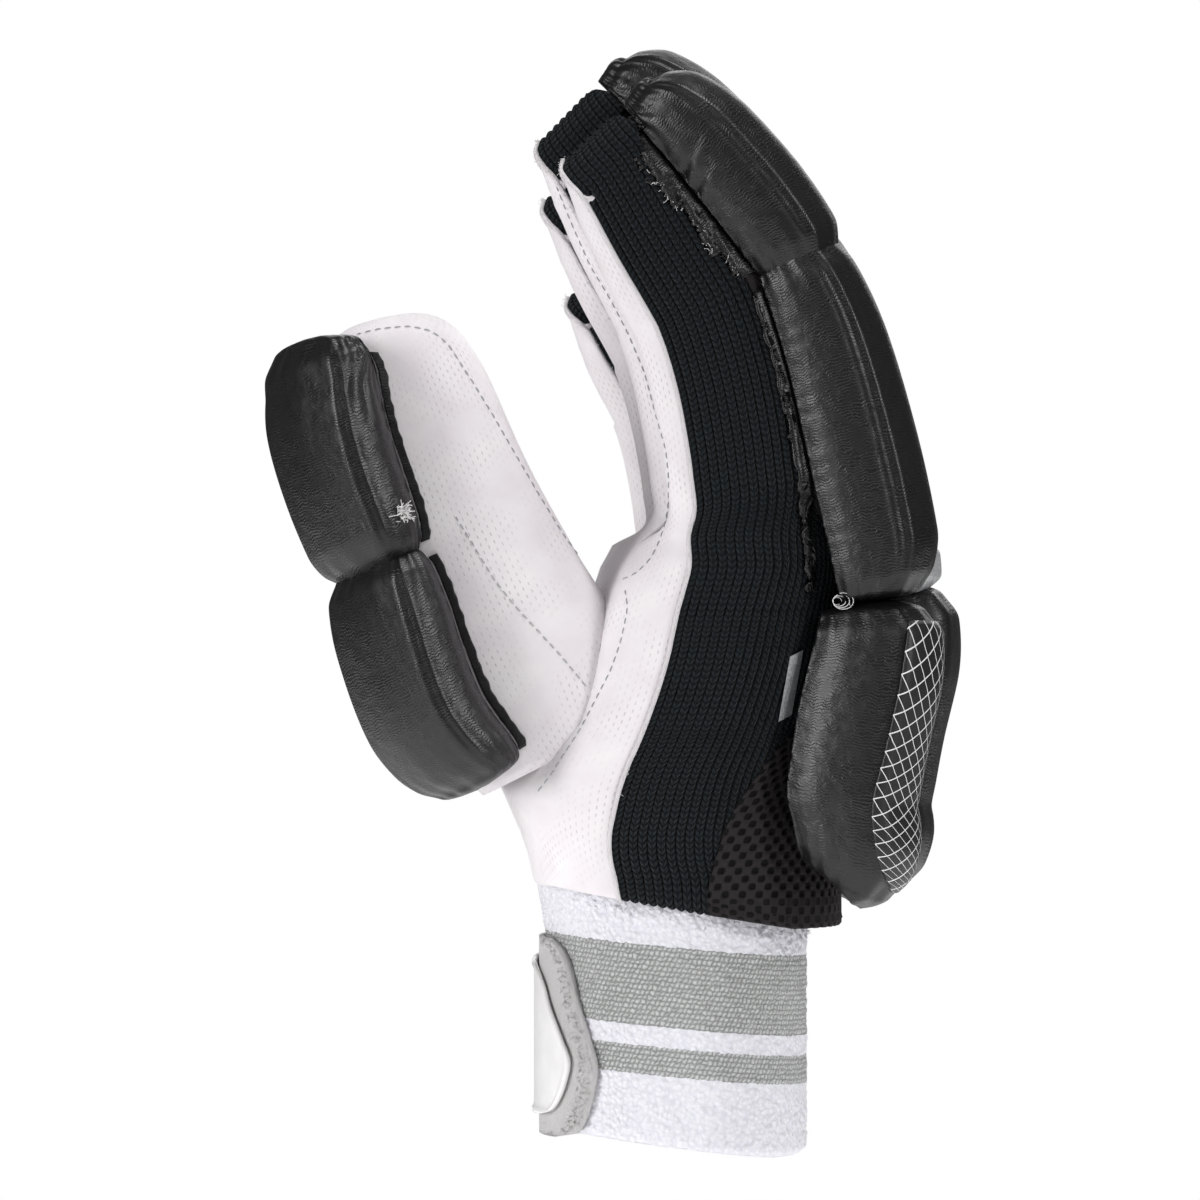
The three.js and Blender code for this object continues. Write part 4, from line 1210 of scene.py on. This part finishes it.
strap = {"base": 2, "width": 50, "thickness": 1.8, "farReach": 14, "inset": 5, "patch": 1.0,
         "columns": 90, "rows": 40, "patchColumns": 110, "patchRows": 64,
         "end": [  # up, reach
             (0.0, -0.43), (0.03, -0.36), (0.11, -0.325), (0.23, -0.30), (0.35, -0.287),
             (0.52, -0.318), (0.70, -0.358), (0.86, -0.385), (0.96, -0.42), (1.0, -0.455),
         ]}


def cuffTurn(x):
    return float(hardTurn(np.array((x - cuff["centre"]) / (cuff["depth"] / 2)), cuff["squareness"]))


def strapPoints(inset, grow, columns, rows):
    low, width = strap["base"] + inset, strap["width"] - 2 * inset
    far = 2 * pi - cuffTurn(strap["farReach"] - 2 * inset)
    made = []
    for share in np.linspace(0, 1, rows):
        near = cuffTurn(readAt(strap["end"], share, 1) * cuff["depth"] - inset)
        z = low + width * share
        made.append(evenRing(lambda turns: cuffPoint(turns, z, grow), near, far, columns))
    return np.array(made)


points = strapPoints(0, 0.3 + strap["thickness"], strap["columns"], strap["rows"])
clothPiece("strap", points, strap["thickness"], "loop", "loop_cloth", "strap",
           facing=(points[20, 45], (-1, 0, 0)))
points = strapPoints(strap["inset"], 0.6 + strap["thickness"] + strap["patch"],
                     strap["patchColumns"], strap["patchRows"])
rowEdge = np.minimum(np.arange(strap["patchRows"]), np.arange(strap["patchRows"])[::-1])[:, None]
rowEdge = rowEdge * (strap["width"] - 2 * strap["inset"]) / (strap["patchRows"] - 1)
across = acrossCloth(points)
edge = np.minimum(rowEdge, np.minimum(across, across[:, -1:] - across))
border = 0.6 * np.exp(-((edge - 1.1) / 0.7) ** 2) - 0.5 * np.exp(-edge / 0.4)
points = points + sheetNormals(points, (-1, 0, 0)) * border[..., None]
piece = sheetMesh("strapPatch", points, facing=(points[20, 45], (-1, 0, 0)))
thicken(piece, strap["patch"])
dress(piece, looks["rubber"], "white_rubber", "strap_patch")
print("cuff and strap made")

# Net panel: a printed cloth over the outer half of the thumb-side hand pad
netPanel = {
    "edge": [  # up, out
        (0.03, 0.90), (0.10, 0.835), (0.20, 0.81), (0.35, 0.87), (0.50, 0.93), (0.615, 0.965),
    ],
    "stand": 0.7, "columns": 60, "rows": 70, "around": 600, "farShare": 0.30,
}


def netPoints():
    pad = handPads[0]
    over = smoothOutline(netPanel["around"])[: round(netPanel["around"] * padShape["top"])]
    width = pad["width"] * hand["breadth"] + 2 * netPanel["stand"]
    thickness = pad["thickness"] + netPanel["stand"]
    rows = []
    for share in np.linspace(0.035, 0.985, netPanel["rows"]):
        row = padRow(seatOnHand(pad), pad["sections"], share, width, thickness, over)
        up = (row[:, 2] - hand["wrist"]) / hand["height"]
        edge = np.array([readAt(netPanel["edge"], one, 1) for one in up]) * hand["depth"]
        crown = len(row) // 2
        start = next(i for i in range(len(row)) if row[i, 0] > edge[i] or i >= crown)
        end = round(crown + netPanel["farShare"] * len(row))
        at = np.linspace(start, end, netPanel["columns"])
        rows.append(readRun(at, np.arange(len(row)), row))
    return np.array(rows)


points = netPoints()
across = acrossCloth(points) * np.linspace(1.0, 1.45, points.shape[1])
along = alongCloth(points, np.linspace(0.95, 2.0, len(points) - 1))
bow = 0.05 * (across - across.mean()) ** 2 / 4
uv = np.stack([across, along + bow], -1)
piece = sheetMesh("netPanel", points, uv, facing=(points[35, 10], (0, -1, 0)))
thicken(piece, 1.0)
dress(piece, looks["net"], "net_print", "net_panel")
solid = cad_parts["side_tab"]
solid.data.materials.clear()
solid.data.materials.append(looks["silver"])
print("net panel and tab made")


# Small parts laid on the surfaces: places are pixels of the photograph, looked up along its own view
photo = {"perMm": 4, "zeroX": 675, "zeroZ": 1150, "plane": -40, "eye": (-18.75, -1900, 137.5)}
chance = random.Random(7)


def surfaceOf(*names):
    # one search tree over the finished shapes of these pieces
    seenShapes = bpy.context.evaluated_depsgraph_get()
    bm = bmesh.new()
    for name in names:
        shape = bpy.data.objects[name].evaluated_get(seenShapes)
        bm.from_mesh(shape.to_mesh())
        shape.to_mesh_clear()
    found = BVHTree.FromBMesh(bm)
    bm.free()
    return found


def under(surface, pixelX, pixelY):
    # the point of a surface that the photograph shows at this pixel, and which way it faces
    start = Vector(photo["eye"]) * mm
    x, z = (pixelX - photo["zeroX"]) / photo["perMm"], (photo["zeroZ"] - pixelY) / photo["perMm"]
    aim = (Vector((x, photo["plane"], z)) * mm - start).normalized()
    hit, facing, face, distance = surface.ray_cast(start, aim)
    if hit is None:
        return None
    if facing.y > 0:
        facing = -facing
    return hit / mm, facing


def settle(points, surface, lift):
    # points laid on a surface, this far above it
    laid = points.copy()
    for place in np.ndindex(points.shape[:-1]):
        hit, facing, face, distance = surface.find_nearest(Vector(points[place]) * mm)
        laid[place] = np.array(hit) / mm + np.array(facing) * lift
    return laid


def strands(name, lines, radius, material, slot):
    # thin round threads, made as one curve and turned into a mesh
    curve = bpy.data.curves.new(name, "CURVE")
    curve.dimensions = "3D"
    curve.bevel_depth = radius * mm
    curve.bevel_resolution = 0
    curve.use_fill_caps = True
    for line in lines:
        spline = curve.splines.new("POLY")
        spline.points.add(len(line) - 1)
        for point, place in zip(spline.points, line):
            point.co = (*(Vector(place) * mm), 1)
    drawn = bpy.data.objects.new(name + "Curve", curve)
    bpy.context.collection.objects.link(drawn)
    shape = bpy.data.meshes.new_from_object(drawn.evaluated_get(bpy.context.evaluated_depsgraph_get()))
    bpy.data.objects.remove(drawn)
    shape.name = name
    shape.shade_smooth()
    piece = bpy.data.objects.new(name, shape)
    bpy.context.collection.objects.link(piece)
    return dress(piece, material, slot)


def stitchLines(surface, corners, stitch=2.1, gap=0.5, lift=0.12):
    # a run of stitches along corner pixels: each thread rises in its middle and dips at its ends
    corners = np.array(corners, float)
    run = runOf(stepsOf(corners))
    at = np.arange(0, run[-1], 1.0)
    places = readRun(at, run, corners)
    window = 17  # pixels over which the corners are rounded
    padded = np.concatenate([np.repeat(places[:1], window // 2, axis=0), places,
                             np.repeat(places[-1:], window // 2, axis=0)])
    places = np.stack([np.convolve(padded[:, k], np.ones(window) / window, "valid") for k in (0, 1)], -1)
    hits = [under(surface, *place) for place in places]
    made = []
    step = round((stitch + gap) * photo["perMm"])
    for first in range(0, len(hits) - step, step):
        held = [hit for hit in hits[first:first + step - round(gap * photo["perMm"])] if hit]
        if len(held) < 4:
            continue
        chosen = [held[round(k * (len(held) - 1) / 3)] for k in range(4)]
        made.append([spot + facing * (lift * high)
                     for (spot, facing), high in zip(chosen, (-1.5, 1.6, 1.6, -1.5))])
    return made


def hairs(roots, reach, spread=1.0):
    # short bent fibres that stand out of their roots, each a place and a direction
    made = []
    for spot, facing in roots:
        spot, facing = Vector(spot), Vector(facing)
        aim = (facing + spread * Vector([chance.uniform(-1, 1) for _ in range(3)])).normalized()
        curl = Vector([chance.uniform(-1, 1) for _ in range(3)]) * 0.5
        length = reach * chance.uniform(0.35, 1.0)
        end = spot + (aim + curl).normalized() * length
        made.append([spot - facing * 0.3, spot + aim * length * 0.5, end])
    return made


seams = {
    "indexPalm": [(556, 185), (572, 224), (590, 265), (611, 300), (628, 333), (644, 371), (655, 411),
                  (666, 449), (669, 477), (669, 498), (666, 523), (659, 543), (650, 560), (636, 574),
                  (619, 581)],
    "thumbEdge": [(355, 335), (378, 329), (409, 326), (432, 331), (448, 344), (470, 378), (492, 414),
                  (516, 456), (540, 497), (563, 535), (585, 565), (600, 580)],
    "gusset": [(625, 588), (628, 608), (621, 641), (611, 670), (596, 699), (579, 732), (564, 754),
               (552, 774), (537, 793), (530, 800)],
    "thumbBase": [(455, 515), (495, 581), (515, 606), (562, 657), (594, 696)],
    "radius": 0.17,
}
leatherSkin = surfaceOf("palmLeather", "thumbSleeve")
lines = []
for name in ("indexPalm", "thumbEdge", "gusset", "thumbBase"):
    lines += stitchLines(leatherSkin, seams[name])
strands("seamThread", lines, seams["radius"], looks["grey thread"], "white_leather")

fuzz = {
    "perEdge": 420, "reach": 1.5, "radius": 0.055, "cutEdge": 0.6,
    "cuffTop": 900, "cuffReach": 1.8, "strapEdge": 700, "strapReach": 1.7, "strapColumns": 4, "thick": 0.09,
}
roots, cutEdges = [], []
for places, facing in knitEdges:
    for _ in range(fuzz["perEdge"]):
        k = chance.randrange(len(places))
        roots.append((places[k] + facing[k] * 0.5, facing[k]))
    cutEdges.append([Vector(place + out * 0.35) for place, out in zip(places, facing)])
strands("edgeFibres", hairs(roots, fuzz["reach"]), fuzz["radius"], looks["white thread"], "white_leather")
strands("cutEdge", cutEdges, fuzz["cutEdge"], looks["leather"], "white_leather")

cuffSkin = surfaceOf("cuff")
roots = []
for _ in range(fuzz["cuffTop"]):
    turn = chance.uniform(0, 2 * pi)
    spot = cuffPoint(np.array([turn]), 0.0, 1.5)[0]
    spot[2] = float(hemHeight(spot[0])) + cuff["tuck"] - chance.uniform(0.5, 9)
    hit, facing, face, distance = cuffSkin.find_nearest(Vector(spot) * mm)
    roots.append((hit / mm, facing))
strands("cuffFibres", hairs(roots, fuzz["cuffReach"]), fuzz["thick"], looks["towel"], "towelling")
roots = []
outer = strapPoints(0.6, 0.4 + strap["thickness"], strap["columns"], strap["rows"])
ends = [*range(fuzz["strapColumns"]), *range(strap["columns"] - fuzz["strapColumns"], strap["columns"])]
for _ in range(fuzz["strapEdge"]):
    row, column = chance.randrange(strap["rows"]), chance.choice(ends)
    roots.append((outer[row, column], np.array([0, -0.8 if column < fuzz["strapColumns"] else 0.8, 0])))
strands("strapFibres", hairs(roots, fuzz["strapReach"], 1.3), fuzz["thick"], looks["loop"], "loop_cloth")

# Sewn flanges beside the pads of the index finger and the thumb
flange = {
    "tipWide": 7.6, "tipNarrow": 5.0, "fingerWide": 3.6, "thumbWide": 3.0, "scallop": 2.6, "wall": 0.9,
    "rows": 90, "columns": 9,
}


def flangePiece(name, seat, sections, width, thickness, surface, wide, narrow, away):
    outline = smoothOutline(padShape["around"])
    rows = []
    for share in np.linspace(0.03, 0.99, flange["rows"]):
        row = padRow(seat, sections, share, width, thickness, outline)
        aim = away(share, row)
        wavy = 1 + 0.07 * sin(share * 90 / flange["scallop"] * 2.3) + 0.05 * sin(share * 41)
        reach = (wide + (narrow - wide) * share) * wavy
        rows.append([row[0] + aim * reach * across for across in np.linspace(-0.15, 1, flange["columns"])])
    points = settle(np.array(rows), surface, 1.0)
    piece = sheetMesh(name, points, facing=(points[45, 4], (0, -1, 0)))
    thicken(piece, flange["wall"])
    dress(piece, looks["pad"], "black_pad")
    return points


def downFinger(one, start, end):
    def away(share, row):
        lean = onLine(one["line"], start + (end - start) * share)[2]
        return np.array([-cos(lean), 0, -sin(lean)])

    return away


def offPad(share, row):
    aim = row[0] - row[round(padShape["around"] * padShape["top"]) - 1]
    return aim / np.linalg.norm(aim)


one = fingers[0]
sideSkin = surfaceOf("knitIndex", "backPanel")
lower = padShape["lower"], one["heel"]
tipFlange = flangePiece(
    "tipFlange", seatOnFinger(one, *padShape["tip"]), tipSections, padShape["fingerWidth"], one["pad"],
    sideSkin, flange["tipWide"], flange["tipNarrow"], downFinger(one, *padShape["tip"]))
flangePiece(
    "fingerFlange", seatOnFinger(one, *lower), fingerSections, padShape["fingerWidth"], one["pad"],
    sideSkin, flange["fingerWide"], flange["fingerWide"], downFinger(one, *lower))
thumbSkin = surfaceOf("thumbSleeve")
for pad in thumbPads:
    flangePiece(
        pad["name"] + "Flange", seatOnThumb(pad), thumbSections, pad["width"], pad["thickness"],
        thumbSkin, flange["thumbWide"], flange["thumbWide"], offPad)
roots = []
for _ in range(45):
    roots.append((tipFlange[chance.randrange(25, flange["rows"]), -1], (0, -1, 0)))
strands("whiteEnds", hairs(roots, 2.0, 1.2), 0.08, looks["white thread"], "white_leather")

# Loose thread ends: a curl where the index pads meet the hand pad, fluff between the thumb pads
loose = {"knot": (835, 601), "fluff": (402, 513), "curl": 1.9, "fibres": 70, "reach": 3.4, "radius": 0.119}
pads = [piece.name for piece in bpy.data.objects if piece.type == "MESH" and "Pad" in piece.name]
everything = surfaceOf(*pads, "backPanel", "knitIndex", "thumbSleeve")
spot, facing = under(everything, *loose["knot"])
spot = Vector((spot.x, min(spot.y, -44), spot.z))
lines = []
for count in range(4):
    size = loose["curl"] * (0.6 + 0.25 * count)
    lines.append([
        spot + Vector((size * cos(a) + count * 0.5, -1 - 0.4 * count + 0.5 * sin(2 * a), size * sin(a) * 0.8))
        for a in np.linspace(count, count + 5.2, 16)
    ])
spot, facing = under(everything, *loose["fluff"])
roots = [(spot + Vector([chance.uniform(-1.2, 1.2) for _ in range(3)]), facing)
         for _ in range(loose["fibres"])]
lines += hairs(roots, loose["reach"], 1.2)
strands("looseThread", lines, loose["radius"], looks["white thread"], "white_leather")
print("threads, fibres and flanges made")

# Floor, light and camera, looking along +Y as the photograph does
view = {"width": 300, "middle": 137.5, "distance": 1900, "aimX": -18.75, "nearSide": 40}
floorMaterial, tree, surface = shader("floor", (0.93, 0.93, 0.93), 0.9)
surface.inputs["Emission Color"].default_value = (1, 1, 1, 1)
surface.inputs["Emission Strength"].default_value = 0.5
bm = bmesh.new()
bmesh.ops.create_grid(bm, x_segments=4, y_segments=4, size=0.55)
bmesh.ops.translate(bm, verts=bm.verts, vec=(0, 0, -0.065))
floor = finished("floor", bm)
floor.data.materials.append(floorMaterial)

world = bpy.data.worlds.new("studio")
bpy.context.scene.world = world
world.use_nodes = True
tree = world.node_tree
background = tree.nodes["Background"]
seen = add(tree, "LightPath").outputs["Is Camera Ray"]
glow = add(tree, "MapRange", {"Value": seen, "To Min": 0.1, "To Max": 1.0})
background.inputs["Color"].default_value = (1, 1, 1, 1)
tree.links.new(glow.outputs[0], background.inputs["Strength"])


def softbox(name, place, target, size, power):
    lamp = bpy.data.lights.new(name, "AREA")
    lamp.shape = "RECTANGLE"
    lamp.size, lamp.size_y = size
    lamp.energy = power
    made = bpy.data.objects.new(name, lamp)
    made.location = place
    made.rotation_euler = (Vector(target) - Vector(place)).to_track_quat("-Z", "Y").to_euler()
    bpy.context.collection.objects.link(made)


middle = (0, 0, 0.14)
softbox("left light", (-1.25, -0.65, 0.4), middle, (0.3, 0.9), 12)
softbox("right light", (1.15, -0.85, 0.7), middle, (0.22, 0.8), 9.5)
softbox("top light", (0.25, -0.1, 1.2), middle, (0.4, 0.4), 5.5)
softbox("front light", (-0.25, -1.6, 0.9), middle, (0.3, 0.3), 3)
softbox("back light", (0.2, 1.2, 0.7), middle, (0.9, 0.7), 3.5)

camera = bpy.data.cameras.new("camera")
camera.sensor_width = 36
camera.lens = camera.sensor_width * (view["distance"] - view["nearSide"]) / view["width"]
camera.clip_end = 50
eye = bpy.data.objects.new("camera", camera)
eye.location = (view["aimX"] * mm, -view["distance"] * mm, view["middle"] * mm)
eye.rotation_euler = (pi / 2, 0, 0)
bpy.context.collection.objects.link(eye)
bpy.context.scene.camera = eye
bpy.context.scene.view_settings.view_transform = "Standard"
print("stage set")
